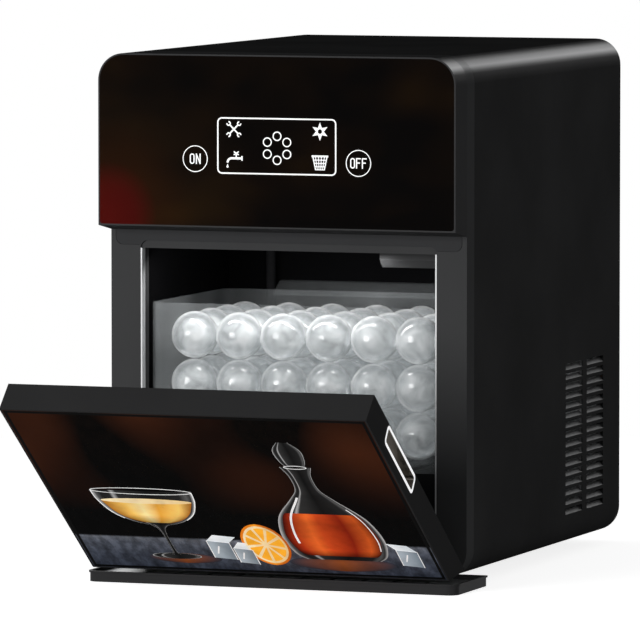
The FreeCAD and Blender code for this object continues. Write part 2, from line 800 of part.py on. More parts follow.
def make_door_fittings():
    """The printed glass, the foam and inner panel, the gasket, the bright grip pans and the pins."""
    glass = new_body("door_glass_body")
    pane = outline(sketch(glass, "front", FRONT), f"-({HALF_DOOR} - door_edge)", f"{HALF_DOOR} - door_edge",
                   "door_bevel_height - door_axis_up + door_edge", f"{DOOR_TOP} + head_drop - door_edge")
    pad(glass, pane, "door_glass_thickness")
    node(hang(glass), "door_glass")

    inner_x = f"{HALF_DOOR} - door_wall"
    for name, first, last in (
            ("door_foam", f"{GLASS_BACK} + door_web", f"{REAR} - door_liner_sheet"),
            ("door_liner", f"{REAR} - door_liner_sheet", REAR)):
        panel = new_body(name + "_body")
        face = outline(sketch(panel, "front", first), f"-({inner_x})", inner_x,
                       LINER_FOOT, LINER_TOP)
        pad(panel, face, f"({last}) - ({first})")
        node(hang(panel), name)

    gasket = new_body("door_gasket_body")
    rim = sketch(gasket, "front", REAR)
    for inset in ("gasket_inset", "(gasket_inset + gasket_width)"):
        outline(rim, f"-(opening_width / 2 - {inset})", f"opening_width / 2 - {inset}",
                f"opening_bottom - door_axis_height + {inset}", f"opening_top - door_axis_height - {inset}")
    pad(gasket, rim, "door_axis_forward - door_axis_in - gasket_gap")
    node(hang(gasket), "door_gasket")

    pans = []
    for sign, inward, outward in (("1", "-", "+"), ("-1", "+", "-")):
        pan = new_body("grip_pan_body")
        pad(pan, grip_outline(sketch(pan, "side", f"{sign} * {HALF_DOOR}"), "0 * grip_band"),
            "grip_ring_thickness", inward)
        pad(pan, grip_outline(sketch(pan, "side", f"{sign} * {HALF_DOOR}"), "grip_band"), "grip_depth", inward)
        pocket(pan, grip_outline(sketch(pan, "side", f"{sign} * {HALF_DOOR}"), "(grip_band + grip_wall)"),
               "grip_depth - grip_wall", inward)
        pans.append(pan)
    node(hang(loose("grip_pan_pair", pans)), "grip_pans")

    pin = rod("hinge_pin", "x", (f"{LUG_MIDDLE} - hinge_pin_length / 2", "0", "0"),
              "hinge_pin_radius", "hinge_pin_length")
    node(hang(loose("hinge_pin_pair", [pin, mirrored("hinge_pin_left", pin)])), "hinge_pins")


def make_hinge_lugs():
    """A plate on the frame at each side, with a tongue forward to the door's pin."""
    start = f"{LUG_MIDDLE} - lug_width / 2"
    axis = ("-door_axis_forward", "door_axis_height")
    eye = rod("lug_eye", "x", (start, *axis), "lug_radius", "lug_width")
    neck = block("lug_neck", (start, f"{start} + lug_width"), (axis[0], "0"),
                 (f"{axis[1]} - lug_radius", f"{axis[1]} + lug_radius"))
    plate = block("lug_plate", (f"{start} - lug_plate", f"{start} + lug_width + lug_plate"), ("-lug_plate", "0"),
                  ("body_bottom + lug_plate", "body_bottom + lug_plate + lug_plate_height"))
    bore = rod("lug_bore", "x", (start, *axis), "hinge_pin_radius + running_clearance", "lug_width")
    lug = cut("lug", joined("lug_solid", [eye, neck, plate]), [bore])
    node(loose("lug_pair", [lug, mirrored("lug_left", lug)]), "hinge_lugs")


# Drip tray

TRAY_TOP = "(body_bottom - tray_clearance)"


def make_tray():
    """A shallow tray with round front corners and an outward lip, and a slotted plate in it."""
    body = new_body("drip_tray_body")

    def rim(drawing, inset):
        half = f"body_width / 2 + tray_overhang - {inset}"
        return outline(drawing, f"-({half})", half, f"-tray_reach + {inset}", f"tray_back - {inset}",
                       f"tray_corner - {inset}", None)

    pad(body, rim(sketch(body, "top"), "tray_lip"), TRAY_TOP)
    pad(body, rim(sketch(body, "top", f"{TRAY_TOP} - tray_lip_height"), "0 * tray_lip"), "tray_lip_height")
    pocket(body, rim(sketch(body, "top", TRAY_TOP), "(tray_lip + tray_wall)"), f"{TRAY_TOP} - tray_wall", "-")
    node(body, "drip_tray")

    plate = new_body("tray_grille_body")
    low = f"{TRAY_TOP} - tray_grille_drop - tray_grille_sheet"
    pad(plate, rim(sketch(plate, "top", low), "(tray_lip + tray_wall)"), "tray_grille_sheet")
    first = "-tray_slot_step * (tray_slot_count - 1) / 2"
    slot = outline(sketch(plate, "top", f"{low} + tray_grille_sheet"),
                   f"{first} - tray_slot_width / 2", f"{first} + tray_slot_width / 2",
                   "-tray_reach + tray_corner", "tray_back - tray_corner")
    opened = pocket(plate, slot, "tray_grille_sheet", "-")
    row(plate, [opened], "x", "tray_slot_step", "tray_slot_count", False)
    node(plate, "tray_grille")


# Ice compartment

def make_liner():
    """The white plastic box behind the opening, open in front and above, and the foam around it."""
    body = new_body("cavity_liner_body")
    floor = "opening_bottom - liner_wall"
    box = outline(sketch(body, "top", floor), f"-{LINER_SIDE}", LINER_SIDE,
                  "frame_depth", "liner_back + liner_wall")
    pad(body, box, f"liner_top - ({floor})")
    inside = outline(sketch(body, "top", "liner_top"), "-opening_width / 2", "opening_width / 2",
                     "frame_depth - liner_wall", "liner_back")
    pocket(body, inside, "liner_top - opening_bottom", "-")
    node(body, "cavity_liner")

    foam = new_body("insulation_body")
    wrap = profile(sketch(foam, "top", "body_bottom + corner_radius"), [
        (f"-{SIDE_IN}", "frame_depth"),
        (f"-{LINER_SIDE}", "frame_depth"),
        (f"-{LINER_SIDE}", "liner_back + liner_wall"),
        (LINER_SIDE, "liner_back + liner_wall"),
        (LINER_SIDE, "frame_depth"),
        (SIDE_IN, "frame_depth"),
        (SIDE_IN, FOAM_END),
        (f"-{SIDE_IN}", FOAM_END),
    ])
    pad(foam, wrap, "liner_top - body_bottom - corner_radius")
    under = outline(sketch(foam, "top", PAN_TOP), f"-{PAN_SIDE_IN}", PAN_SIDE_IN, "frame_depth", FOAM_END)
    pad(foam, under, f"opening_bottom - liner_wall - {PAN_TOP}")
    node(foam, "insulation")


def make_shelf_and_cover():
    """The slotted shelf under the bin, the black cover below it, and the chute and sensor above."""
    body = new_body("bin_shelf_body")
    plate = outline(sketch(body, "top", "shelf_height"), "-(opening_width / 2 - trim_thickness)",
                    "opening_width / 2 - trim_thickness", "shelf_front", "liner_back")
    pad(body, plate, "shelf_thickness")
    first = "-shelf_slot_step * (shelf_slot_count - 1) / 2"
    slot = outline(sketch(body, "top", SHELF_TOP),
                   f"{first} - shelf_slot_width / 2", f"{first} + shelf_slot_width / 2",
                   "bin_front + bin_corner", "bin_front + bin_depth - bin_corner")
    opened = pocket(body, slot, "shelf_thickness", "-")
    row(body, [opened], "x", "shelf_slot_step", "shelf_slot_count", False)
    passage = outline(sketch(body, "top", SHELF_TOP), "-pump_across - riser_radius - chute_gap",
                      "-pump_across + riser_radius + chute_gap", "mould_axis_y - riser_radius - chute_gap",
                      "mould_axis_y + riser_radius + chute_gap")
    pocket(body, passage, "shelf_thickness", "-")
    node(body, "bin_shelf")

    node(block("tank_cover_block", ("-(opening_width / 2 - trim_thickness)", "opening_width / 2 - trim_thickness"),
               ("shelf_front", "shelf_front + cover_thickness"), ("opening_bottom", "shelf_height")), "tank_cover")

    chute = new_body("ice_chute_body")
    foot = "bin_front + bin_depth + chute_gap"
    low = "bin_top - chute_drop"
    left = "-(pump_across - riser_radius - chute_gap)"
    section = profile(sketch(chute, "side", left), [
        (foot, low),
        ("liner_back", f"{low} + chute_rise"),
        ("liner_back", f"{low} + chute_rise + chute_sheet"),
        (foot, f"{low} + chute_sheet"),
    ])
    pad(chute, section, f"opening_width / 2 - chute_side_gap - ({left})")
    node(chute, "ice_chute")

    sensor = new_body("bin_sensor_body")
    case = profile(sketch(sensor, "side", "sensor_left"), [
        ("sensor_front", "sensor_bottom + sensor_height / 3"),
        ("sensor_front + sensor_depth / 4", "sensor_bottom"),
        ("sensor_front + sensor_depth", "sensor_bottom"),
        ("sensor_front + sensor_depth", "sensor_bottom + sensor_height"),
        ("sensor_front", "sensor_bottom + sensor_height"),
    ])
    pad(sensor, case, "opening_width / 2 - sensor_left")
    node(sensor, "bin_sensor")


def make_bin():
    """The clear bin for the ice, its floor raised on a skirt, with round upright corners."""
    body = new_body("ice_bin_body")

    def wall(drawing, inset):
        half = f"opening_width / 2 - bin_side_gap - {inset}"
        return outline(drawing, f"-({half})", half, f"bin_front + {inset}", f"bin_front + bin_depth - {inset}",
                       f"bin_corner - {inset}", f"bin_corner - {inset}")

    pad(body, wall(sketch(body, "top", SHELF_TOP), "0 * bin_wall"), f"bin_top - {SHELF_TOP}")
    pocket(body, wall(sketch(body, "top", "bin_top"), "bin_wall"), "bin_top - bin_floor", "-")
    pocket(body, wall(sketch(body, "top", SHELF_TOP), "bin_wall"),
           f"bin_floor - bin_wall - {SHELF_TOP}", "+")
    node(body, "ice_bin")


# Water circuit

def make_water_circuit():
    """The tank under the shelf, the pump in it, the riser and the swivel that feeds the mould."""
    tank = new_body("water_tank_body")

    def wall(drawing, inset):
        half = f"opening_width / 2 - tank_side_gap - {inset}"
        return outline(drawing, f"-({half})", half, f"tank_front + {inset}", f"tank_back - {inset}")

    pad(tank, wall(sketch(tank, "top", "opening_bottom"), "0 * tank_wall"), "tank_height")
    pocket(tank, wall(sketch(tank, "top", "opening_bottom + tank_height"), "tank_wall"),
           "tank_height - tank_wall", "-")
    node(tank, "water_tank")

    floor = "opening_bottom + tank_wall"
    pump_y = "tank_back - tank_wall - pump_inset"
    motor = prism("pump_motor", "z", ("-pump_across", pump_y, floor), "barrel_sides", "pump_radius", "pump_height")
    outlet = block("pump_outlet", ("-pump_across - riser_radius", "-pump_across + riser_radius"),
                   (pump_y, "mould_axis_y + riser_radius"),
                   ("opening_bottom + tank_height", "opening_bottom + tank_height + 2 * riser_wall"))
    head = prism("pump_neck", "z", ("-pump_across", pump_y, f"{floor} + pump_height"), "pipe_sides",
                 "riser_radius", "tank_height - tank_wall - pump_height + 2 * riser_wall")
    node(joined("pump_solid", [motor, head, outlet]), "water_pump")

    foot = "opening_bottom + tank_height + 2 * riser_wall"
    pipe = prism("riser_pipe", "z", ("-pump_across", "mould_axis_y", foot), "barrel_sides", "riser_radius",
                 f"mould_axis_z - swivel_radius - ({foot})")
    bore = prism("riser_bore", "z", ("-pump_across", "mould_axis_y", foot), "barrel_sides",
                 "riser_radius - riser_wall", f"mould_axis_z - swivel_radius - ({foot})")
    node(cut("riser", pipe, [bore]), "pump_riser")

    left = "-pump_across - swivel_width / 2"
    body = block("swivel_block", (left, f"{left} + swivel_width"), ("mould_axis_y - swivel_radius", "liner_back"),
                 ("mould_axis_z - swivel_radius", "mould_axis_z + swivel_radius"))
    socket = rod("swivel_socket", "x", (f"{left} + swivel_width / 3", "mould_axis_y", "mould_axis_z"),
                 "trunnion_radius + running_clearance", "swivel_width")
    node(cut("swivel", body, [socket]), "water_swivel")


# Ice mould

MOULD_TOP = "(mould_bottom + mould_thickness)"
CUPS_LEFT = "(-cup_step_x * (cup_columns - 1) / 2)"
CUPS_FRONT = "((mould_front + mould_back) / 2 - cup_step_y * (cup_rows - 1) / 2)"


def faceted_cup(name, column, line, opening_level, sign):
    """Half a ball cut with flat sides: each ring lies on the ball, and the floor is flat."""
    sides = round(value("cup_sides"))
    rings = []
    for number in range(round(value("cup_rings")) + 1):
        angle = math.radians(number * value("cup_ring_turn"))
        across = value("cup_radius") * math.cos(angle)
        down = sign * value("cup_radius") * math.sin(angle)
        turns = [2 * math.pi * (corner + 0.5) / sides for corner in range(sides)]
        rings.append([FreeCAD.Vector(across * math.cos(turn), across * math.sin(turn), -down) for turn in turns])
    faces = [Part.Face(Part.makePolygon([*ring, ring[0]])) for ring in (rings[0], rings[-1])]
    for upper, lower in zip(rings, rings[1:]):
        for corner in range(sides):
            after = (corner + 1) % sides
            panel = [upper[corner], upper[after], lower[after], lower[corner], upper[corner]]
            faces.append(Part.Face(Part.makePolygon(panel)))
    item = doc.addObject("Part::Feature", name)
    item.Shape = Part.makeSolid(Part.makeShell(faces))
    return place(item, f"{CUPS_LEFT} + {column} * cup_step_x", f"{CUPS_FRONT} + {line} * cup_step_y", opening_level)


def hollow_cups(name, base, opening_level, sign):
    """The grid of ball-shaped cups in a mould half's parting face."""
    cups = [faceted_cup(name + "_cup", column, line, opening_level, sign)
            for column in range(round(value("cup_columns")))
            for line in range(round(value("cup_rows")))]
    return cut(name, base, [loose(name + "_cups", cups)])


def make_mould():
    """The chilled upper half with its coil, and the lower half that tips down to drop the ice."""
    upper = new_body("upper_mould_body")
    face = f"{MOULD_TOP} + mould_parting"
    plan = outline(sketch(upper, "top", face), "-mould_width / 2", "mould_width / 2", "mould_front", "mould_back")
    pad(upper, plan, "mould_thickness")
    node(hollow_cups("upper_half", upper, face, -1), "upper_mould")

    lower = new_body("lower_mould_body")
    plan = outline(sketch(lower, "top", "mould_bottom"), "-mould_width / 2", "mould_width / 2",
                   "mould_front", "mould_back")
    pad(lower, plan, "mould_thickness")
    for sign in ("-1", "1"):
        ear = profile(sketch(lower, "side", f"{sign} * mould_width / 2 - (1 + {sign}) * mould_ear / 2"), [
            ("mould_back", "mould_axis_z - mould_ear"),
            ("mould_axis_y", "mould_axis_z - mould_ear"),
            ("mould_axis_y + mould_ear", "mould_axis_z"),
            ("mould_axis_y", "mould_axis_z + mould_ear"),
            ("mould_back", "mould_axis_z + mould_ear"),
        ])
        pad(lower, ear, "mould_ear")
        pin = circle(sketch(lower, "side", f"{sign} * mould_width / 2"), "mould_axis_y", "mould_axis_z",
                     "trunnion_radius")
        pad(lower, pin, "trunnion_length", "+" if sign == "1" else "-")
    node(hollow_cups("lower_half", lower, MOULD_TOP, 1), "lower_mould")

    coil = new_body("evaporator_coil_body")
    top_face = f"{face} + mould_thickness"
    step = "(coil_channel + coil_gap)"
    spread = f"(coil_runs * coil_channel + (coil_runs - 1) * coil_gap)"
    first = f"((mould_front + mould_back) / 2 - {spread} / 2)"
    band = outline(sketch(coil, "top", top_face), "-(mould_width / 2 - coil_gap)", "mould_width / 2 - coil_gap",
                   first, f"{first} + {spread}")
    pad(coil, band, "coil_height")
    for sign, start in (("1", "0"), ("-1", "1")):
        gap = f"{first} + coil_channel + {start} * {step}"
        ends = ["-(mould_width / 2)", "mould_width / 2 - coil_gap - coil_channel"]
        if sign == "-1":
            ends = [f"-({ends[1]})", f"-({ends[0]})"]
        slot = outline(sketch(coil, "top", f"{top_face} + coil_height"), *ends, gap, f"{gap} + coil_gap")
        opened = pocket(coil, slot, "coil_height", "-")
        row(coil, [opened], "y", f"2 * {step}", "floor((coil_runs - 1) / 2)", False)
    node(coil, "evaporator_coil")

    housing = new_body("mould_housing_body")
    cap = outline(sketch(housing, "top", "liner_top"), f"-{LINER_SIDE}", LINER_SIDE,
                  "frame_depth", "liner_back + liner_wall")
    pad(housing, cap, "housing_top - liner_top")
    inside = outline(sketch(housing, "top", "liner_top"), f"-({LINER_SIDE} - housing_wall)",
                     f"{LINER_SIDE} - housing_wall", "frame_depth + housing_wall",
                     "liner_back + liner_wall - housing_wall")
    pocket(housing, inside, "housing_top - liner_top - housing_wall", "+")
    node(housing, "mould_housing")

    posts = []
    top = f"{face} + mould_thickness"
    for across in ("-1", "1"):
        for depth in ("mould_front + post_inset", "mould_back - post_inset"):
            centre = (f"{across} * (mould_width / 2 - 2 * post_inset)", depth, top)
            posts.append(prism("post", "z", centre, "pipe_sides", "post_radius", f"housing_top - housing_wall - ({top})"))
    node(loose("posts_set", posts), "mould_posts")

    left = "mould_width / 2 + trunnion_length / 3"
    case = prism("tilt_motor_case", "x", (left, "mould_axis_y", "mould_axis_z"), "barrel_sides",
                 "liner_back - mould_axis_y", "motor_width")
    gearbox = block("tilt_motor_box", (left, f"{left} + motor_width / 3"),
                    ("mould_axis_y - swivel_radius", "liner_back"),
                    ("mould_axis_z - motor_radius", "mould_axis_z + motor_radius / 2"))
    socket = rod("tilt_motor_socket", "x", (left, "mould_axis_y", "mould_axis_z"),
                 "trunnion_radius + running_clearance", "trunnion_length * 2 / 3 + running_clearance")
    node(cut("tilt_motor_solid", joined("tilt_motor_form", [case, gearbox]), [socket]), "tilt_motor")


# Cooling circuit

COND_X = "(body_width / 2 - shell_wall - condenser_gap)"
COND_MID_Y = "(condenser_front + condenser_length / 2)"
COND_MID_Z = "(condenser_bottom + condenser_height / 2)"
SHROUD_X = "(body_width / 2 - shell_wall - condenser_gap - condenser_thickness)"
ARMS_X = "(body_width / 2 - shell_wall - condenser_gap - condenser_thickness - shroud_depth)"
FAN_X = f"({ARMS_X} + fan_motor_gap)"
COMP_FOOT = f"({PAN_TOP} + grommet_height)"


def make_compressor():
    """The compressor's welded can on its foot plate, standing on four rubber grommets."""
    body = new_body("compressor_body")
    pad(body, circle(sketch(body, "top"), "0", "0", "compressor_radius"), "compressor_height")
    plate = outline(sketch(body, "top"), "-compressor_ear / 2", "compressor_ear / 2",
                    "-compressor_ear / 2", "compressor_ear / 2")
    pad(body, plate, "compressor_plate", "+")
    place(body, f"-{COMP_ACROSS}", "compressor_y", COMP_FOOT)
    node(body, "compressor")

    grommets = []
    for across in ("-1", "1"):
        for depth in ("-1", "1"):
            centre = (f"-{COMP_ACROSS} + {across} * grommet_step / 2",
                      f"compressor_y + {depth} * grommet_step / 2", PAN_TOP)
            grommets.append(prism("grommet", "z", centre, "pipe_sides", "grommet_radius", "grommet_height"))
    node(loose("grommets_set", grommets), "compressor_grommets")


def make_condenser():
    """A finned block behind the louvres, with its flat tubes run through the fins."""
    body = new_body("condenser_body")
    fin = outline(sketch(body, "front", "condenser_front"), SHROUD_X, COND_X,
                  "condenser_bottom", "condenser_bottom + condenser_height")
    first = pad(body, fin, "fin_sheet")
    tubes = sketch(body, "front", "condenser_front")
    middle = f"({SHROUD_X} + {COND_X}) / 2"
    for number in range(round(value("condenser_tube_count"))):
        level = f"condenser_bottom + ({number} + 0.5) * condenser_height / condenser_tube_count"
        outline(tubes, f"{middle} - condenser_tube_depth / 2", f"{middle} + condenser_tube_depth / 2",
                f"{level} - condenser_tube_height / 2", f"{level} + condenser_tube_height / 2")
    pad(body, tubes, "condenser_length")
    row(body, [first], "y", "(condenser_length - fin_sheet) / (fin_count - 1)", "fin_count", True)
    node(body, "condenser")


def make_fan():
    """The shroud plate, the motor on its cross of arms, and the bladed rotor that turns before it."""
    shroud = new_body("fan_shroud_body")
    plate = sketch(shroud, "side", f"{SHROUD_X} - shroud_sheet")
    outline(plate, "condenser_front", "condenser_front + condenser_length",
            PAN_TOP, "condenser_bottom + condenser_height")
    circle(plate, COND_MID_Y, COND_MID_Z, "fan_radius + fan_tip_gap")
    pad(shroud, plate, "shroud_sheet", "+")
    node(shroud, "fan_shroud")

    motor_end = f"{ARMS_X} - fan_motor_gap"
    case = prism("fan_motor_case", "x", (f"{motor_end} - fan_motor_length", COND_MID_Y, COND_MID_Z),
                 "barrel_sides", "fan_motor_radius", "fan_motor_length")
    reach = "(fan_radius + fan_tip_gap + fan_arm_width)"
    arms = []
    for number, (y_half, z_half) in enumerate(((reach, "fan_arm_width / 2"), ("fan_arm_width / 2", reach))):
        arms.append(block(f"fan_arm_{number}", (motor_end, ARMS_X),
                          (f"{COND_MID_Y} - {y_half}", f"{COND_MID_Y} + {y_half}"),
                          (f"{COND_MID_Z} - {z_half}", f"{COND_MID_Z} + {z_half}")))
    for sign in ("-1", "1"):
        near = f"{COND_MID_Y} + {sign} * {reach}"
        far = f"{COND_MID_Y} + {sign} * ({reach} - fan_arm_width / 2)"
        arms.append(block("fan_stay", (ARMS_X, f"{SHROUD_X} - shroud_sheet"),
                          (near, far) if sign == "-1" else (far, near),
                          (f"{COND_MID_Z} - fan_arm_width / 2", f"{COND_MID_Z} + fan_arm_width / 2")))
    bore = rod("fan_motor_bore", "x", (f"{motor_end} - fan_motor_length / 2", COND_MID_Y, COND_MID_Z),
               "fan_shaft_radius + running_clearance", "fan_motor_length")
    node(cut("fan_motor_solid", joined("fan_motor_form", [case, *arms]), [bore]), "fan_motor")

    rotor = new_body("fan_rotor_body")
    hub = circle(sketch(rotor, "top"), "0", "0", "fan_hub_radius")
    pad(rotor, hub, "fan_width", "+")
    shaft = circle(sketch(rotor, "top"), "0", "0", "fan_shaft_radius")
    pad(rotor, shaft, "fan_motor_gap * 2 + fan_motor_length / 2 - fan_motor_gap", "-")
    lean = "fan_width * sin(90 - fan_blade_pitch) / 2"
    blade = profile(sketch(rotor, "side", "fan_hub_radius * 0.8"), [
        (f"-({lean}) - fan_blade_sheet", "0"),
        (f"-({lean})", "0"),
        (f"({lean}) + fan_blade_sheet", "fan_width"),
        (f"{lean}", "fan_width"),
    ])
    bladed = pad(rotor, blade, "fan_radius - fan_hub_radius * 0.8", "+")
    around(rotor, [bladed], "z", "fan_blades", True)
    rotor.Placement = FreeCAD.Placement(FreeCAD.Vector(), LYING["x"])
    place(rotor, FAN_X, COND_MID_Y, COND_MID_Z)
    node(rotor, "fan_rotor")


def tube(name, points, radius):
    """A pipe bent square through tied points, with flat sides, drawn from the sheet's sizes."""
    spots = [FreeCAD.Vector(*(value(part) for part in point)) for point in points]
    path = Part.makePolygon(spots)
    ahead = (spots[1] - spots[0]).normalize()
    aside = FreeCAD.Vector(ahead.y, ahead.z, ahead.x) * value(radius)
    sides = round(value("pipe_sides"))
    turned = [FreeCAD.Rotation(ahead, 360 * corner / sides).multVec(aside) + spots[0] for corner in range(sides)]
    start = Part.makePolygon([*turned, turned[0]])
    item = doc.addObject("Part::Feature", name)
    item.Shape = path.makePipeShell([start], True, True, 1)
    return item


def make_pipes():
    """The drier, the hot-gas valve and the three runs of pipe of the cooling circuit."""
    top_of_can = f"{COMP_FOOT} + compressor_height"
    wall_y = f"{FOAM_END} + 4 * pipe_radius"
    valve_z = "liner_top - 2 * valve_body"
    over = "condenser_bottom + condenser_height + valve_body"
    above = "housing_top + valve_body"
    node(tube("discharge_run", [
        (f"-{COMP_ACROSS}", "compressor_y", top_of_can),
        (f"-{COMP_ACROSS}", "compressor_y", over),
        (f"({SHROUD_X} + {COND_X}) / 2", "compressor_y", over),
        (f"({SHROUD_X} + {COND_X}) / 2", "compressor_y", "condenser_bottom + condenser_height"),
    ], "pipe_radius"), "discharge_pipe")
    node(tube("suction_run", [
        (f"-{COMP_ACROSS}", "compressor_y - compressor_radius", f"{COMP_FOOT} + compressor_height / 3"),
        (f"-{COMP_ACROSS}", wall_y, f"{COMP_FOOT} + compressor_height / 3"),
        (f"-{COMP_ACROSS}", wall_y, above),
        (f"-{COMP_ACROSS}", "mould_back - post_inset", above),
        (f"-{COMP_ACROSS}", "mould_back - post_inset", "housing_top"),
    ], "pipe_radius"), "suction_pipe")
    node(tube("liquid_run", [
        ("drier_radius", wall_y, f"{valve_z} + valve_body"),
        ("drier_radius", wall_y, above),
        ("drier_radius", "mould_back - post_inset", above),
        ("drier_radius", "mould_back - post_inset", "housing_top"),
    ], "pipe_radius"), "liquid_pipe")
    drier_foot = f"{valve_z} - drier_length - valve_body"
    barrel = prism("drier_barrel", "z", ("drier_radius", wall_y, drier_foot), "barrel_sides", "drier_radius",
                   "drier_length")
    neck = prism("drier_neck", "z", ("drier_radius", wall_y, f"{drier_foot} + drier_length"), "pipe_sides",
                 "pipe_radius", "valve_body")
    node(joined("drier_solid", [barrel, neck]), "filter_drier")
    housing = block("valve_block", ("drier_radius - valve_body / 2", "drier_radius + valve_body / 2"),
                    (FOAM_END, f"{FOAM_END} + 2 * valve_body"), (valve_z, f"{valve_z} + valve_body"))
    coil = prism("valve_coil", "y", ("drier_radius", f"{FOAM_END} + 2 * valve_body", f"{valve_z} + valve_body / 2"),
                 "barrel_sides", "valve_coil_radius", "valve_body")
    node(joined("valve_solid", [housing, coil]), "hot_gas_valve")


# Electrics and connections

def make_connections():
    """The power board's box, and the power and water fittings in the back panel."""
    box = block("power_box", ("-board_width / 2", "board_width / 2"),
                (f"{BACK_FACE} - board_depth", BACK_FACE), ("board_bottom", "board_bottom + board_height"))
    hollow = block("power_box_hollow", ("-board_width / 2 + board_sheet", "board_width / 2 - board_sheet"),
                   (f"{BACK_FACE} - board_depth + board_sheet", BACK_FACE),
                   ("board_bottom + board_sheet", "board_bottom + board_height - board_sheet"))
    node(cut("power_box_shell", box, [hollow]), "power_board_box")

    def around_inlet(name, more, first, last):
        return block(name,
                     (f"{INLET_ACROSS} - inlet_width / 2 - ({more})",
                      f"{INLET_ACROSS} + inlet_width / 2 + ({more})"),
                     (first, last),
                     (f"inlet_centre_height - inlet_height / 2 - ({more})",
                      f"inlet_centre_height + inlet_height / 2 + ({more})"))

    face = f"{BACK_FACE} + panel_sheet"
    barrel = around_inlet("inlet_barrel", "0 * inlet_wall", f"{BACK_FACE} - inlet_depth", face)
    flange = around_inlet("inlet_flange_plate", "inlet_flange", face, f"{face} + inlet_wall")
    mouth = around_inlet("inlet_mouth", "-inlet_wall", f"{BACK_FACE} - inlet_depth + inlet_wall",
                         f"{face} + inlet_wall")
    pins = []
    for number in range(3):
        centre = f"{INLET_ACROSS} + ({number} - 1) * inlet_width / 4"
        rise = "inlet_height / 8" if number == 1 else "-inlet_height / 8"
        pins.append(block("inlet_pin", (f"{centre} - inlet_wall / 2", f"{centre} + inlet_wall / 2"),
                          (f"{BACK_FACE} - inlet_depth", BACK_FACE),
                          (f"inlet_centre_height + {rise} - inlet_wall", f"inlet_centre_height + {rise} + inlet_wall")))
    shell = cut("inlet_shell", joined("inlet_form", [barrel, flange]), [mouth])
    node(joined("inlet_solid", [shell, *pins]), "power_inlet")

    centre = (f"-{WATER_ACROSS}", f"{BACK_FACE} - water_inlet_body", "water_inlet_height")
    case = block("water_case", (f"{centre[0]} - water_inlet_body / 2", f"{centre[0]} + water_inlet_body / 2"),
                 (centre[1], BACK_FACE),
                 (f"{centre[2]} - water_inlet_body / 2", f"{centre[2]} + water_inlet_body / 2"))
    spout = rod("water_spout", "y", (centre[0], BACK_FACE, centre[2]), "water_inlet_radius", "water_inlet_reach")
    node(joined("water_valve", [case, spout]), "water_inlet_valve")


def check_and_write():
    """Stops on any failed piece, and otherwise writes one file for each node."""
    doc.recompute()
    for item in doc.Objects:
        if "Invalid" in item.State or "Error" in item.State:
            raise RuntimeError(f"{item.Name} did not build")
    os.makedirs("parts", exist_ok=True)
    for item in nodes:
        if item.Shape.isNull() or not item.Shape.isValid() or not item.Shape.Solids:
            raise RuntimeError(f"{item.Label} has no valid solid")
        item.Shape.exportStep(f"parts/{item.Label}.step")


make_shell()
make_back_panel()
make_base()
make_front_frame()
make_strip_and_trims()
make_head()
make_head_electronics()
make_door_casing()
make_door_fittings()
make_hinge_lugs()
make_tray()
make_liner()
make_shelf_and_cover()
make_bin()
make_water_circuit()
make_mould()
make_compressor()
make_condenser()
make_fan()
make_pipes()
make_connections()
check_and_write()
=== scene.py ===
import json
import math

import bmesh
import bpy
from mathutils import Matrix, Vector


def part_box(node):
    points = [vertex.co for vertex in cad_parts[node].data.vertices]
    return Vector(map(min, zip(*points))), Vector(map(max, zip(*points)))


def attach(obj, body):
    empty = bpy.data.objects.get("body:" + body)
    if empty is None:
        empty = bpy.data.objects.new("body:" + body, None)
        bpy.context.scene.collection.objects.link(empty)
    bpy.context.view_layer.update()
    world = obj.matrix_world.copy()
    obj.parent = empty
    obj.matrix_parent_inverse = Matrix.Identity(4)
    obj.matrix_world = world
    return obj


# A countertop maker of round ice, dressed for a studio photograph. Metres, Z up, front towards -Y.

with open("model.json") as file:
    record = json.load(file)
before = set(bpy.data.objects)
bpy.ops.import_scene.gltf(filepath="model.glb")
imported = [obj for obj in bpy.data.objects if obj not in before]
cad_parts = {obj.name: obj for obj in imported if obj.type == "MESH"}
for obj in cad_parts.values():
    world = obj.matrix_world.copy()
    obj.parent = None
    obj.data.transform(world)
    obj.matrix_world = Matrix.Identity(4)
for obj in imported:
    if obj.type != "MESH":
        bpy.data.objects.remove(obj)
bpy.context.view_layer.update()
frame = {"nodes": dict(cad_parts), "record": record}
nodes = frame["nodes"]
slot_of = {part["node"]: part["material_slot"] for part in frame["record"]["subparts"]}

MM = 0.001
ACROSS = Vector((1, 0, 0))
UPRIGHT = Vector((0, 0, 1))

# Camera of the photograph
CAMERA_TURN = 19.86
CAMERA_RISE = 4.28
CAMERA_DISTANCE = 7.76068
CAMERA_TARGET = Vector((0.03544, 0.0, 0.27369))
CAMERA_NEAR = 0.5
CAMERA_FAR = 60.0
FOCAL_PIXELS = 7540.77
FRAME_PIXELS = 640

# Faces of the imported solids
GLASS_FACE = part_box("control_glass")[0].y
BACK_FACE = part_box("back_panel")[1].y
BACK_LOW, BACK_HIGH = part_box("back_panel")

# The door at rest: its hinge, how far it is open, its glass face out from the hinge, and its own directions
DOOR_AXIS = Vector((0.0, -0.011, 0.0206))
DOOR_OPEN = math.radians(54)
DOOR_GLASS_OUT = 29.6 * MM
DOOR_OUT = Vector((0.0, -math.cos(DOOR_OPEN), -math.sin(DOOR_OPEN)))
DOOR_UP = Vector((0.0, -math.sin(DOOR_OPEN), math.cos(DOOR_OPEN)))


# Shader nodes

def new_material(name):
    material = bpy.data.materials.new(name)
    material.use_nodes = True
    tree = material.node_tree
    return material, tree, tree.nodes["Principled BSDF"]


def settle(surface, levels):
    """Constants on the shader's own sockets."""
    for socket, level in levels.items():
        surface.inputs[socket].default_value = level


def add(tree, kind, **settings):
    """A node, with values for its sockets and its own settings."""
    item = tree.nodes.new(kind)
    for key, setting in settings.items():
        if key in item.inputs:
            item.inputs[key].default_value = setting
        else:
            setattr(item, key, setting)
    return item


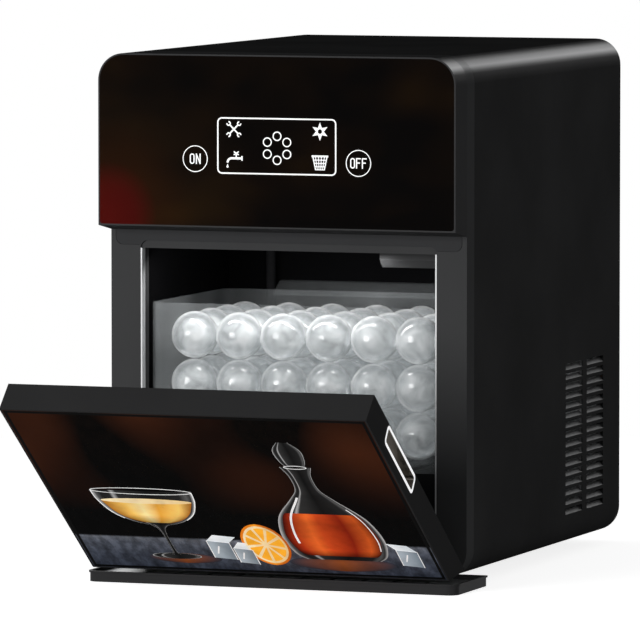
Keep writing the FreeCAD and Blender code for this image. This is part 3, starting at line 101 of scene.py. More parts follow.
def grey(level):
    return (level, level, level)


def shade(colour, factor):
    return tuple(min(1.0, channel * factor) for channel in colour)


def ramp(tree, source, stops):
    """Colours along a value, as (place, colour) pairs, where a plain number stands for a grey."""
    item = add(tree, "ShaderNodeValToRGB")
    elements = item.color_ramp.elements
    while len(elements) < len(stops):
        elements.new(0.5)
    for element, (place, colour) in zip(elements, stops):
        element.position = place
        element.color = (*(grey(colour) if isinstance(colour, float) else colour), 1.0)
    tree.links.new(source, item.inputs["Fac"])
    return item.outputs["Color"]


# Most of a noise lies between these two levels
NOISE_LOW = 0.3
NOISE_HIGH = 0.7


def uneven(tree, source, low, high):
    return ramp(tree, source, [(NOISE_LOW, low), (NOISE_HIGH, high)])


def coordinates(tree, kind="Object"):
    return add(tree, "ShaderNodeTexCoord").outputs[kind]


def components(tree, vector):
    parts = add(tree, "ShaderNodeSeparateXYZ")
    tree.links.new(vector, parts.inputs["Vector"])
    return parts.outputs


def stretched(tree, vector, scale):
    mapping = add(tree, "ShaderNodeMapping", Scale=scale)
    tree.links.new(vector, mapping.inputs["Vector"])
    return mapping.outputs["Vector"]


def noise(tree, vector, **settings):
    item = add(tree, "ShaderNodeTexNoise", **settings)
    tree.links.new(vector, item.inputs["Vector"])
    return item.outputs["Fac"]


def grain(tree, scale, stretch=(1.0, 1.0, 1.0), detail=3.0):
    """Fine noise through the solid, stretched along the object's own axes."""
    return noise(tree, stretched(tree, coordinates(tree), stretch), Scale=scale, Detail=detail)


def share_of(tree, value, low, high):
    """How far a value is from one level to another, 0 to 1."""
    span = add(tree, "ShaderNodeMapRange", **{"From Min": low, "From Max": high})
    tree.links.new(value, span.inputs["Value"])
    return span.outputs["Result"]


def combined(tree, blend, first, second, share=1.0):
    """Two colours multiplied or added."""
    item = add(tree, "ShaderNodeMixRGB", blend_type=blend, Fac=share)
    tree.links.new(first, item.inputs["Color1"])
    tree.links.new(second, item.inputs["Color2"])
    return item.outputs["Color"]


def emboss(tree, surface, height, strength, depth):
    """Relief finer than the mesh."""
    relief = add(tree, "ShaderNodeBump", Strength=strength, Distance=depth)
    tree.links.new(height, relief.inputs["Height"])
    tree.links.new(relief.outputs["Normal"], surface.inputs["Normal"])


# Materials

FINE_GRAIN = 1400.0
GLOSS_SPREAD = 0.15
BRUSHED = (1.0, 1.0, 24.0)


def finish(name, colour, roughness, metallic=0.0, specular=0.03, mottle=0.12, patch=9.0, fine=FINE_GRAIN,
           bump=0.1, relief=0.02, stretch=(1.0, 1.0, 1.0), coat=0.0):
    """A real surface: broad uneven tone, fine grain in its relief, and uneven gloss."""
    material, tree, surface = new_material(name)
    broad = grain(tree, patch, detail=4.0)
    tone = uneven(tree, broad, shade(colour, 1 - mottle), shade(colour, 1 + mottle))
    tree.links.new(tone, surface.inputs["Base Color"])
    texture = grain(tree, fine, stretch)
    low, high = roughness * (1 - GLOSS_SPREAD), roughness * (1 + GLOSS_SPREAD)
    gloss = add(tree, "ShaderNodeMapRange", **{"To Min": max(0.02, low), "To Max": min(1.0, high)})
    tree.links.new(texture, gloss.inputs["Value"])
    tree.links.new(gloss.outputs["Result"], surface.inputs["Roughness"])
    if bump:
        emboss(tree, surface, texture, bump, relief * MM)
    settle(surface, {"Metallic": metallic, "Specular IOR Level": specular, "Coat Weight": coat})
    return material


# Each surface: its colour, its roughness, and what sets it apart
SURFACES = {
    "shell_paint": ((0.030, 0.0301, 0.0305), 0.42, dict(specular=0.0, bump=0.12, relief=0.03)),
    "frame_plastic": ((0.047, 0.0475, 0.0485), 0.5, dict(specular=0.0, bump=0.15, mottle=0.05)),
    "strip_metal": ((0.038, 0.0385, 0.040), 0.4, dict(specular=0.0, bump=0.05, mottle=0.05)),
    "trim_metal": ((0.44, 0.445, 0.45), 0.4, dict(metallic=0.2, stretch=BRUSHED, bump=0.05)),
    "head_plastic": ((0.042, 0.042, 0.043), 0.35, dict(specular=0.0, bump=0.04, mottle=0.06)),
    "display": ((0.006, 0.006, 0.007), 0.25, dict(bump=0.0)),
    "circuit_board": ((0.02, 0.14, 0.06), 0.45, dict(patch=160.0, mottle=0.3)),
    "door_plastic": ((0.026, 0.026, 0.0265), 0.45, dict(specular=0.0, bump=0.12, mottle=0.06)),
    "foam": ((0.72, 0.62, 0.36), 0.9, dict(fine=500.0, bump=0.5, relief=0.6, mottle=0.2)),
    "liner_plastic": ((0.004, 0.004, 0.0043), 0.4, dict(specular=0.0, bump=0.05)),
    "gasket_rubber": ((0.014, 0.014, 0.015), 0.7, dict(bump=0.2)),
    "steel": ((0.52, 0.53, 0.54), 0.3, dict(metallic=1.0, stretch=BRUSHED, bump=0.15)),
    "tray_plastic": ((0.030, 0.030, 0.031), 0.3, dict(specular=0.01, bump=0.08, mottle=0.06)),
    "aluminium": ((0.50, 0.51, 0.52), 0.42, dict(metallic=1.0, bump=0.2)),
    "copper": ((0.72, 0.30, 0.16), 0.3, dict(metallic=1.0, mottle=0.2)),
    "white_plastic": ((0.62, 0.62, 0.60), 0.5, dict(bump=0.1)),
    "black_plastic": ((0.012, 0.012, 0.013), 0.5, dict(bump=0.15)),
    "pan_steel": ((0.26, 0.27, 0.28), 0.45, dict(metallic=0.85, patch=60.0, mottle=0.2, bump=0.1)),
    "rubber": ((0.014, 0.014, 0.015), 0.75, dict(bump=0.25)),
    "compressor_paint": ((0.010, 0.010, 0.011), 0.22, dict(coat=0.2, bump=0.05)),
}
finishes = {name: finish(name, colour, roughness, **traits)
            for name, (colour, roughness, traits) in SURFACES.items()}

# Painted highlight along the casing's rounded top edges: its strength set by how far the face turns upward,
# and by its height on the casing
EDGE_HIGHLIGHT_BY_SLOPE = [
    (0.05, 0.0), (0.36, 0.06), (0.46, 0.24), (0.62, 0.80), (0.78, 0.62), (0.93, 0.08), (0.99, 0.0)]
EDGE_HIGHLIGHT_BY_HEIGHT = [(0.30, 0.40), (0.44, 1.0)]
EDGE_HIGHLIGHT_TONE = (0.12, 0.121, 0.124, 1.0)


def paint_edge_highlight(name):
    """A painted highlight band where the casing turns over its long round top edges: the colour is lightened
    there and turned metallic, so it shows as a satin sheen.
    """
    tree = finishes[name].node_tree
    surface = tree.nodes["Principled BSDF"]
    painted = surface.inputs["Base Color"].links[0].from_socket
    shape = add(tree, "ShaderNodeNewGeometry")
    turning = ramp(tree, components(tree, shape.outputs["Normal"])["Z"], EDGE_HIGHLIGHT_BY_SLOPE)
    high = ramp(tree, components(tree, coordinates(tree))["Z"], EDGE_HIGHLIGHT_BY_HEIGHT)
    # The painted highlight: strongest where the face is half turned up, and only high on the casing
    sheen = combined(tree, "MULTIPLY", turning, high)
    blend = add(tree, "ShaderNodeMixRGB", Color2=EDGE_HIGHLIGHT_TONE)
    tree.links.new(sheen, blend.inputs["Fac"])
    tree.links.new(painted, blend.inputs["Color1"])
    tree.links.new(blend.outputs["Color"], surface.inputs["Base Color"])
    tree.links.new(sheen, surface.inputs["Metallic"])


# Tones of the grip pans, by their distance from the middle plane: a bright chrome rim, and painted shade that
# darkens the hollow deeper in
GRIP_TONES_AND_HOLLOW_SHADE = [
    (0.1800, (0.30, 0.285, 0.265)), (0.1925, (0.48, 0.46, 0.44)), (0.1937, (0.50, 0.48, 0.46)),
    (0.1941, (0.86, 0.86, 0.87)), (0.1960, (0.90, 0.90, 0.91))]


def grip_chrome():
    """Chrome with a fine grain, bright on the pan's rim, with painted shade that dims its hollow."""
    material, tree, surface = new_material("grip_chrome")
    reach = add(tree, "ShaderNodeMath", operation="ABSOLUTE")
    tree.links.new(components(tree, coordinates(tree))["X"], reach.inputs[0])
    inner, outer = GRIP_TONES_AND_HOLLOW_SHADE[0][0], GRIP_TONES_AND_HOLLOW_SHADE[-1][0]
    tone = ramp(tree, share_of(tree, reach.outputs["Value"], inner, outer),
                [((place - inner) / (outer - inner), colour) for place, colour in GRIP_TONES_AND_HOLLOW_SHADE])
    tree.links.new(tone, surface.inputs["Base Color"])
    emboss(tree, surface, grain(tree, FINE_GRAIN), 0.05, 0.02 * MM)
    settle(surface, {"Roughness": 0.16, "Metallic": 1.0})
    return material


def clear_plastic():
    """The bin's frosted clear moulding: mostly see-through, with an even milky haze."""
    material, tree, surface = new_material("clear_plastic")
    cloud = grain(tree, 14.0, detail=4.0)
    tree.links.new(uneven(tree, cloud, (0.50, 0.53, 0.54), (0.66, 0.69, 0.70)), surface.inputs["Base Color"])
    tree.links.new(uneven(tree, cloud, 0.08, 0.13), surface.inputs["Alpha"])
    settle(surface, {"Roughness": 0.3, "Specular IOR Level": 0.04})
    return material


# Levels of the streaks in the ice, the ice's tone and a painted glow at each,
# and how clear the ice is from the middle of a ball to its rim
STREAKS = (0.32, 0.50, 0.66)
ICE_TONES = ((0.40, 0.42, 0.43), (0.66, 0.69, 0.70), (0.90, 0.91, 0.92))
ICE_PAINTED_GLOW = ((0.034, 0.036, 0.037), (0.062, 0.066, 0.068), (0.10, 0.105, 0.108))
ICE_CLEARNESS = [(0.0, 0.12), (0.16, 0.30), (0.40, 0.75), (0.54, 0.60), (0.68, 0.0)]


def ice():
    """Ice with fine trapped streaks, a faint painted glow that lifts it, and glass that is clearest short of
    its rim.
    """
    material, tree, surface = new_material("ice")
    streaks = noise(tree, coordinates(tree), Scale=38.0, Detail=5.0, Distortion=1.4)
    tree.links.new(ramp(tree, streaks, list(zip(STREAKS, ICE_TONES))), surface.inputs["Base Color"])
    tree.links.new(ramp(tree, streaks, list(zip(STREAKS, ICE_PAINTED_GLOW))), surface.inputs["Emission Color"])
    rim = add(tree, "ShaderNodeLayerWeight", Blend=0.5)
    clear = ramp(tree, rim.outputs["Facing"], ICE_CLEARNESS)
    tree.links.new(clear, surface.inputs["Transmission Weight"])
    emboss(tree, surface, streaks, 0.15, 1.0 * MM)
    settle(surface, {
        "Emission Strength": 1.0, "Roughness": 0.07, "IOR": 1.31, "Sheen Weight": 0.8, "Sheen Roughness": 0.5,
        "Coat Weight": 1.0, "Coat Roughness": 0.03})
    return material


# The glow on the control glass: its place, and its colour by the distance from there
GLOW_PLACE = Vector((-0.185, GLASS_FACE, 0.380))
GLOW_TONES = [
    (0.0, (0.062, 0.0016, 0.0012)), (0.03, (0.048, 0.0014, 0.0010)), (0.055, (0.012, 0.0035, 0.0006)),
    (0.10, (0.0035, 0.0018, 0.0006)), (0.17, 0.0)]
WARM_TONES = [
    (0.36, (0.0010, 0.0006, 0.0005)), (0.56, (0.0040, 0.0018, 0.0007)), (0.75, (0.0090, 0.0042, 0.0010))]


def control_glass():
    """Black back-printed glass with a faint warm cast, and a dark red glow low on its left."""
    material, tree, surface = new_material("control_glass")
    place = coordinates(tree)
    patches = noise(tree, stretched(tree, place, (1.0, 1.0, 1.8)), Scale=11.0, Detail=1.5, Roughness=0.4)
    away = add(tree, "ShaderNodeVectorMath", operation="DISTANCE")
    away.inputs[1].default_value = GLOW_PLACE
    tree.links.new(place, away.inputs[0])
    glow = ramp(tree, away.outputs["Value"], GLOW_TONES)
    tone = combined(tree, "ADD", ramp(tree, patches, WARM_TONES), glow)
    tree.links.new(tone, surface.inputs["Base Color"])
    settle(surface, {"Roughness": 0.06, "Specular IOR Level": 0.002})
    return material


def sign_ink():
    """White ink under glass, slightly uneven, with a faint painted glow."""
    material, tree, surface = new_material("white_ink_with_glow")
    tone = uneven(tree, grain(tree, 30.0), 0.86, 0.95)
    tree.links.new(tone, surface.inputs["Base Color"])
    tree.links.new(tone, surface.inputs["Emission Color"])
    settle(surface, {"Emission Strength": 0.25, "Roughness": 0.12, "Specular IOR Level": 0.05})
    return material


# Painted edge highlight on the casing, the head and the front frame
for coated in ("shell_paint", "head_plastic", "frame_plastic"):
    paint_edge_highlight(coated)
finishes["grip_chrome"] = grip_chrome()
finishes["clear_plastic"] = clear_plastic()
finishes["control_glass"] = control_glass()
ice_finish = ice()
white_ink_with_glow = sign_ink()


# The door's print: a dark bar with a slate counter, drawn in the door glass's own plane

PRINT_FOOT = 0.03
PRINT_HEAD = 0.345
# The inks of the print also glow faintly: a painted glow
PRINT_PAINTED_GLOW = 0.35
PRINT_GLOSS = {"Roughness": 0.10, "Specular IOR Level": 0.003}

# Tones from the foot of the print to its head: the counter, its edge, and the room
ROOM_TONES = [
    (0.0, (0.060, 0.072, 0.105)), (0.10, (0.090, 0.105, 0.145)), (0.18, (0.150, 0.168, 0.215)),
    (0.212, (0.240, 0.260, 0.310)), (0.222, (0.0015, 0.0014, 0.0015)), (0.60, (0.0012, 0.0010, 0.0010)),
    (0.85, (0.0028, 0.0014, 0.0010)), (1.0, (0.0030, 0.0016, 0.0010))]
CLEFT_TONES = [(0.34, 0.10), (0.50, 0.50), (0.62, 1.0)]
SPOT_TONES = [(0.0, (0.090, 0.022, 0.006)), (0.25, (0.046, 0.012, 0.004)), (0.55, 0.0)]
SPOTS_BY_HEIGHT = [(0.38, 0.0), (0.80, 1.0)]


def door_print():
    """A slate counter below, and a dark room above with a few dim warm blurs in it."""
    material, tree, surface = new_material("printed_glass")
    plane = add(tree, "ShaderNodeMapping", vector_type="TEXTURE", Location=DOOR_AXIS,
                Rotation=(DOOR_OPEN, 0.0, 0.0))
    tree.links.new(coordinates(tree), plane.inputs["Vector"])
    on_door = plane.outputs["Vector"]
    height = share_of(tree, components(tree, on_door)["Z"], PRINT_FOOT, PRINT_HEAD)
    flat = stretched(tree, on_door, (1.0, 0.0, 0.55))
    cleft = noise(tree, flat, Scale=80.0, Detail=6.0, Roughness=0.65)
    slate = combined(tree, "MULTIPLY", ramp(tree, height, ROOM_TONES), ramp(tree, cleft, CLEFT_TONES), 0.8)
    lights = add(tree, "ShaderNodeTexVoronoi", Scale=11.0, feature="SMOOTH_F1", Randomness=0.95)
    tree.links.new(flat, lights.inputs["Vector"])
    spots = ramp(tree, lights.outputs["Distance"], SPOT_TONES)
    lit = combined(tree, "MULTIPLY", spots, ramp(tree, height, SPOTS_BY_HEIGHT))
    tree.links.new(combined(tree, "ADD", slate, lit), surface.inputs["Base Color"])
    settle(surface, PRINT_GLOSS)
    return material


def ink(name, across, up):
    """Printed tone under glass that changes across a shape and up it, and that also glows faintly as painted
    light.
    """
    material, tree, surface = new_material(name)
    places = components(tree, coordinates(tree, "UV"))
    toned = combined(tree, "MULTIPLY", ramp(tree, places["X"], across), ramp(tree, places["Y"], up))
    patchy = ramp(tree, grain(tree, 60.0), [(0.3, 0.6), (0.6, 1.0)])
    tone = combined(tree, "MULTIPLY", toned, patchy, 0.5)
    tree.links.new(tone, surface.inputs["Base Color"])
    tree.links.new(tone, surface.inputs["Emission Color"])
    settle(surface, {"Emission Strength": PRINT_PAINTED_GLOW, **PRINT_GLOSS})
    return material


finishes["printed_glass"] = door_print()

for name, item in nodes.items():
    for slot in item.material_slots:
        slot.material = finishes[slot_of[name]]


# Meshes

def mesh_object(name, points, faces, material):
    mesh = bpy.data.meshes.new(name)
    mesh.from_pydata([tuple(point) for point in points], [], faces)
    mesh.update()
    item = bpy.data.objects.new(name, mesh)
    bpy.context.scene.collection.objects.link(item)
    mesh.materials.append(material)
    return item


def ribbon(path, width, closed):
    """Flat stroke along a path of 2-D points: the points and faces of its face side."""
    count = len(path)
    points = []
    for index, here in enumerate(path):
        before = path[index - 1] if closed or index else here
        after = path[(index + 1) % count] if closed or index < count - 1 else here
        ahead = (after - before).normalized()
        side = Vector((-ahead.y, ahead.x)) * width / 2
        points.extend((here + side, here - side))
    faces = []
    for index in range(count if closed else count - 1):
        following = (index + 1) % count
        faces.append((2 * index, 2 * index + 1, 2 * following + 1, 2 * following))
    return points, faces


class InkLayer:
    """A thin layer of ink: flat shapes in millimetres in one plane, a hair above what carries it."""

    def __init__(self, name, origin, across, up, material, thickness):
        self.name = name
        self.origin = origin
        self.across = across.normalized()
        self.up = up.normalized()
        self.out = self.across.cross(self.up).normalized()
        self.material = material
        self.thickness = thickness
        self.points = []
        self.faces = []
        self.shares = []

    def put(self, points, faces, shares=None):
        """Adds flat faces with their edges, so that the layer is a closed solid."""
        start = len(self.points)
        count = len(points)
        flat = [Vector(point) * MM for point in points]
        for level in (self.thickness, 0.0):
            self.shares.extend(shares or [(0.5, 0.5)] * count)
            for point in flat:
                spot = self.origin + self.across * point[0] + self.up * point[1]
                self.points.append(spot + self.out * level)
        rim = {}
        for face in faces:
            self.faces.append([start + corner for corner in face])
            self.faces.append([start + count + corner for corner in reversed(face)])
            for first, second in zip(face, (*face[1:], face[0])):
                rim[(first, second)] = True
        for first, second in rim:
            if (second, first) not in rim:
                near, far = start, start + count
                self.faces.append((near + second, near + first, far + first, far + second))

    def stroke(self, path, width, closed=False):
        self.put(*ribbon([Vector(point) for point in path], width, closed))

    def area(self, path):
        self.put(path, [tuple(range(len(path)))])

    def silhouette(self, middle, rows, columns=12):
        """A shape given as rows of height and half width about a middle line."""
        low, high = rows[0][0], rows[-1][0]
        points = []
        shares = []
        for height, half in rows:
            for step in range(columns + 1):
                share = step / columns
                points.append((middle + half * (2 * share - 1), height))
                shares.append((share, (height - low) / (high - low)))
        wide = columns + 1
        faces = []
        for line in range(len(rows) - 1):
            for corner in range(wide * line, wide * line + columns):
                faces.append((corner, corner + 1, corner + wide + 1, corner + wide))
        self.put(points, faces, shares)

    def build(self, body):
        item = mesh_object(self.name, self.points, self.faces, self.material)
        layer = item.data.uv_layers.new(name="shape")
        for loop in item.data.loops:
            layer.data[loop.index].uv = self.shares[loop.vertex_index]
        worked = bmesh.new()
        worked.from_mesh(item.data)
        bmesh.ops.recalc_face_normals(worked, faces=worked.faces)
        worked.to_mesh(item.data)
        worked.free()
        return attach(item, body)


# Paths and shapes, each a list of 2-D points or of rows of height and half width

CORNER_STEPS = 6
ROWS_BETWEEN = 6
OVAL_ROWS = 16
OVAL_END = 88


def ring(centre, radius, count=40, start=0.0, turn=360.0):
    steps = count if turn == 360.0 else count + 1
    angles = [math.radians(start + turn * step / count) for step in range(steps)]
    return [(centre[0] + radius * math.cos(angle), centre[1] + radius * math.sin(angle)) for angle in angles]


def oval(centre, half_width, half_height, count):
    return [(centre[0] + half_width * x, centre[1] + half_height * y) for x, y in ring((0, 0), 1.0, count)]


def bar(left, right, bottom, top):
    return [(left, bottom), (right, bottom), (right, top), (left, top)]


def round_box(left, right, bottom, top, radius):
    points = []
    for x, y, start in ((right - radius, top - radius, 0), (left + radius, top - radius, 90),
                        (left + radius, bottom + radius, 180), (right - radius, bottom + radius, 270)):
        points.extend(ring((x, y), radius, CORNER_STEPS, start, 90.0))
    return points


def shifted(path, centre, scale=1.0, turn=0.0):
    angle = math.radians(turn)
    return [(centre[0] + scale * (x * math.cos(angle) - y * math.sin(angle)),
             centre[1] + scale * (x * math.sin(angle) + y * math.cos(angle))) for x, y in path]


def flowing(rows):
    """More rows between the given ones, on a smooth curve through them."""
    result = []
    for index in range(len(rows) - 1):
        near = [Vector(rows[max(0, min(len(rows) - 1, index + shift))]) for shift in (-1, 0, 1, 2)]
        for step in range(ROWS_BETWEEN):
            t = step / ROWS_BETWEEN
            spot = 0.5 * (2 * near[1] + (near[2] - near[0]) * t
                          + (2 * near[0] - 5 * near[1] + 4 * near[2] - near[3]) * t ** 2
                          + (3 * near[1] - near[0] - 3 * near[2] + near[3]) * t ** 3)
            result.append((spot.x, spot.y))
    result.append(rows[-1])
    return result


def oval_rows(height, half_height, half_width):
    """Rows of an upright oval about a height."""
    angles = [math.radians(-OVAL_END + 2 * OVAL_END * step / OVAL_ROWS) for step in range(OVAL_ROWS + 1)]
    return [(height + half_height * math.sin(angle), half_width * math.cos(angle)) for angle in angles]


# Lettering and signs on the control glass, in millimetres from the middle of the counter

SIGN_RISE = 0.12 * MM
DISPLAY = (-63.0, 65.6, 425.3, 482.0)
DISPLAY_CORNER = 4.5
DISPLAY_STROKE = 1.5
TOUCH_KEYS = (("ON", (-87.9, 439.5), 6.7), ("OFF", (90.3, 437.9), 6.3))
TOUCH_RADIUS = 13.3
TOUCH_STROKE = 0.9
LETTER_HEIGHT = 10.8
LETTER_WIDTH = 5.3
LETTER_STROKE = 1.25
SIGN_STROKE = 1.25
BALLS_SIGN = (1.8, 451.8)
SPANNERS_SIGN = (-45.4, 470.6)
TAP_SIGN = (-45.4, 438.6)
STAR_SIGN = (48.5, 469.7)
BASKET_SIGN = (48.5, 437.9)

panel = InkLayer("panel_signs", Vector((0, GLASS_FACE, 0)), ACROSS, UPRIGHT, white_ink_with_glow, SIGN_RISE)
panel.stroke(round_box(*DISPLAY, DISPLAY_CORNER), DISPLAY_STROKE, closed=True)


def letter(sign, centre):
    edge = LETTER_STROKE / 2
    side, top = LETTER_WIDTH / 2 - edge, LETTER_HEIGHT / 2 - edge
    stem = [(-side, -top - edge), (-side, top + edge)]
    strokes = {
        "O": [round_box(-side, side, -top, top, side * 0.95)],
        "N": [stem, [(side, -top - edge), (side, top + edge)], [(-side, top), (side, -top)]],
        "F": [stem, [(-side, top), (side + edge, top)], [(-side, 0.4), (side * 0.8, 0.4)]],
    }
    for path in strokes[sign]:
        panel.stroke(shifted(path, centre), LETTER_STROKE, closed=sign == "O")


# Touch keys: a ring, with its word inside it
for text, centre, pitch in TOUCH_KEYS:
    panel.stroke(ring(centre, TOUCH_RADIUS), TOUCH_STROKE, closed=True)
    for index, sign in enumerate(text):
        letter(sign, (centre[0] + (index - (len(text) - 1) / 2) * pitch, centre[1]))

# Ring of six balls
for middle in ring(BALLS_SIGN, 12.3, 6, 90):
    panel.stroke(ring(middle, 4.3, 24), SIGN_STROKE, closed=True)

# Crossed spanners: a handle, and an open jaw at each end
for turn in (45, 135):
    panel.area(shifted(bar(-6.8, 6.8, -0.8, 0.8), SPANNERS_SIGN, turn=turn))
    for end, half_turn in ((-8.2, 180), (8.2, 0)):
        jaw = shifted(ring((0, 0), 1.8, 16, 40, 280), (end, 0), turn=half_turn)
        panel.stroke(shifted(jaw, SPANNERS_SIGN, turn=turn), 1.4)


def tap_part(path):
    """Part of the tap, drawn with its spout to the right and turned over to the left."""
    return shifted([(-x, y) for x, y in reversed(path)], TAP_SIGN, 0.94)


# Tap: its body, stem and wall plate, the bend of its spout, its crossed handle, and a drop
for part in (bar(-8.6, 3.0, 1.0, 3.4), bar(-3.5, -1.9, 3.4, 7.4), bar(-10.2, -8.6, -0.4, 4.8)):
    panel.area(tap_part(part))
panel.stroke(tap_part(ring((2.6, -2.6), 4.8, 10, 0, 90)), 2.2)
for handle in ([(-5.6, 6.0), (0.2, 9.6)], [(-5.6, 9.6), (0.2, 6.0)]):
    panel.stroke(tap_part(handle), 1.2)
panel.area(tap_part(ring((7.4, -6.9), 1.3, 12, 180, 180) + [(7.4, -3.8)]))

# Frost star: six barbs about a ring
for turn in range(30, 390, 60):
    panel.area(shifted([(3.4, -2.3), (9.4, 0.0), (3.4, 2.3), (2.6, 0.0)], STAR_SIGN, turn=turn))
panel.stroke(ring(STAR_SIGN, 2.9, 24), 1.2, closed=True)

# Basket: its rim, its sides and floor, three hoops and four staves
panel.stroke(shifted([(-9.0, 6.4), (9.0, 6.4)], BASKET_SIGN), 2.0)
panel.stroke(shifted([(-7.6, 5.6), (-4.8, -7.4), (4.8, -7.4), (7.6, 5.6)], BASKET_SIGN), 1.3)
for level in (2.6, -0.8, -4.2):
    half = 5.2 + (level + 7.4) * 0.21
    panel.stroke(shifted([(-half, level), (half, level)], BASKET_SIGN), 1.0)
for across in (-3.6, -1.2, 1.2, 3.6):
    panel.stroke(shifted([(across * 1.35, 5.6), (across * 0.8, -7.2)], BASKET_SIGN), 0.9)

panel.build("cabinet")


# Inks of the door's picture: tones from left to right over a shape, and their strength up from its foot

PLAIN = [(0.0, 1.0), (1.0, 1.0)]
INK_TONES = {
    "glass": (
        [(0.0, 0.50), (0.035, 0.08), (0.08, 0.012), (0.17, 0.020), (0.20, 0.42), (0.24, 0.030), (0.55, 0.006),
         (0.86, 0.016), (0.93, 0.10), (0.97, 0.030), (1.0, 0.55)],
        [(0.0, 0.7), (0.25, 1.0), (1.0, 0.9)]),
    "spirit": (
        [(0.0, (0.06, 0.004, 0.002)), (0.10, (0.40, 0.030, 0.006)), (0.30, (0.86, 0.150, 0.024)),
         (0.42, (0.62, 0.070, 0.012)), (0.70, (0.26, 0.016, 0.004)), (0.88, (0.66, 0.105, 0.016)),
         (1.0, (0.08, 0.006, 0.002))],
        [(0.0, 0.30), (0.14, 1.0), (0.75, 0.72), (0.96, 1.0), (1.0, (1.0, 0.9, 0.7))]),
    "drink": (
        [(0.0, (0.46, 0.17, 0.016)), (0.22, (0.95, 0.56, 0.12)), (0.40, (1.0, 0.80, 0.36)),
         (0.60, (0.86, 0.40, 0.05)), (0.85, (0.95, 0.60, 0.15)), (1.0, (0.40, 0.13, 0.012))],
        [(0.0, 0.45), (0.35, 1.0), (0.9, 0.9), (1.0, (1.0, 0.95, 0.85))]),
    "rind": ([(0.0, (0.80, 0.20, 0.010)), (0.35, (0.98, 0.36, 0.020)), (1.0, (0.55, 0.11, 0.006))], PLAIN),
    "pith": ([(0.0, (0.95, 0.78, 0.48)), (1.0, (0.80, 0.58, 0.28))], PLAIN),
    "pulp": ([(0.0, (0.98, 0.44, 0.03)), (1.0, (0.98, 0.44, 0.03))], PLAIN),
    "bright": ([(0.0, 0.85), (1.0, 0.92)], PLAIN),
    "ice_face": ([(0.0, (0.42, 0.48, 0.53)), (1.0, (0.18, 0.22, 0.26))], PLAIN),
    "ice_top": ([(0.0, (0.86, 0.90, 0.93)), (1.0, (0.70, 0.76, 0.80))], PLAIN),
    "edge": ([(0.0, 0.003), (1.0, 0.003)], PLAIN),
    "glow": (
        [(0.0, (0.030, 0.034, 0.048)), (0.5, (0.24, 0.062, 0.016)), (1.0, (0.030, 0.034, 0.048))],
        [(0.0, 0.55), (0.6, 1.0), (1.0, 0.8)]),
}
inks = {name: ink("ink_" + name, across, up) for name, (across, up) in INK_TONES.items()}


# The door's picture, in millimetres from the hinge: a decanter, a coupe, a citrus wheel and cubes of ice

INK_RISE = 0.05
DECANTER_X = 92
COUPE_X = -92
COUPE_RIM = 192
WHEEL = (14, 92)
WHEEL_HALF = (25, 41)
RIND = (2.6, 4)
WEDGES = 9
WEDGE_TURN = 8
WEDGE_SPREAD = 31.0
WEDGE_INNER = 0.13
WEDGE_OUTER = 0.80
PRINT_EDGE = (-190.5, 190.5, 36, 341.5)
MARGIN = 5.0


def picture(name, tone, level):
    """An empty layer of the door's print, a few hairs above the glass."""
    origin = DOOR_AXIS + DOOR_OUT * (DOOR_GLASS_OUT + level * INK_RISE * MM)
    return InkLayer("print_" + name, origin, ACROSS, DOOR_UP, inks[tone], INK_RISE * MM)


decanter = flowing([(66, 40), (78, 50), (110, 55), (150, 47), (186, 24), (206, 13), (232, 12), (250, 17)])
decanter_spirit = flowing([(74, 38), (84, 45), (112, 50), (146, 44), (158, 38.5)])
decanter_stopper = flowing([(251, 10), (262, 14), (282, 15), (298, 6)])
coupe_foot = oval_rows(62, 6, 27)
coupe_stem = flowing([(64, 5), (72, 2.2), (104, 2.0), (118, 4.5), (126, 11)])
coupe_bowl = flowing([(124, 9), (132, 28), (148, 44), (172, 53), (COUPE_RIM, 55)])
coupe_drink = flowing([(129, 14), (136, 29), (150, 41), (172, 49.5)])
wheel_rind = oval_rows(WHEEL[1], WHEEL_HALF[1], WHEEL_HALF[0])
wheel_pith = oval_rows(WHEEL[1], WHEEL_HALF[1] - RIND[1], WHEEL_HALF[0] - RIND[0])
decanter_glow = oval_rows(58, 15, 58)
coupe_glow = oval_rows(58, 10, 40)

# Each layer: its name, its ink, how high it lies over the glass, and its shapes about their middle lines
for name, tone, level, shapes in (
        ("counter_glow", "glow", 0, [(DECANTER_X - 4, decanter_glow), (COUPE_X + 8, coupe_glow)]),
        ("decanter", "glass", 1, [(DECANTER_X, decanter)]),
        ("decanter_spirit", "spirit", 2, [(DECANTER_X, decanter_spirit)]),
        ("decanter_stopper", "glass", 2, [(DECANTER_X, decanter_stopper)]),
        ("coupe", "glass", 1, [(COUPE_X, coupe_foot), (COUPE_X, coupe_stem), (COUPE_X, coupe_bowl)]),
        ("coupe_drink", "drink", 2, [(COUPE_X, coupe_drink)]),
        ("coupe_surface", "pith", 3, [(COUPE_X, oval_rows(172, 5, 49.5))]),
        ("wheel_rind", "rind", 3, [(WHEEL[0], wheel_rind)]),
        ("wheel_pith", "pith", 4, [(WHEEL[0], wheel_pith)])):
    layer = picture(name, tone, level)
    for middle, rows in shapes:
        layer.silhouette(middle, rows)
    layer.build("door")

# Wedges of the citrus wheel, in shares of its half width and half height
pulp = picture("wheel_pulp", "pulp", 5)
for wedge in range(WEDGES):
    middle = 360 / WEDGES * wedge + WEDGE_TURN
    tip = (WEDGE_INNER * math.cos(math.radians(middle)), WEDGE_INNER * math.sin(math.radians(middle)))
    back = ring((0, 0), WEDGE_OUTER, 6, middle - WEDGE_SPREAD / 2, WEDGE_SPREAD)
    pulp.area([(WHEEL[0] + WHEEL_HALF[0] * x, WHEEL[1] + WHEEL_HALF[1] * y) for x, y in (tip, *back)])
pulp.build("door")

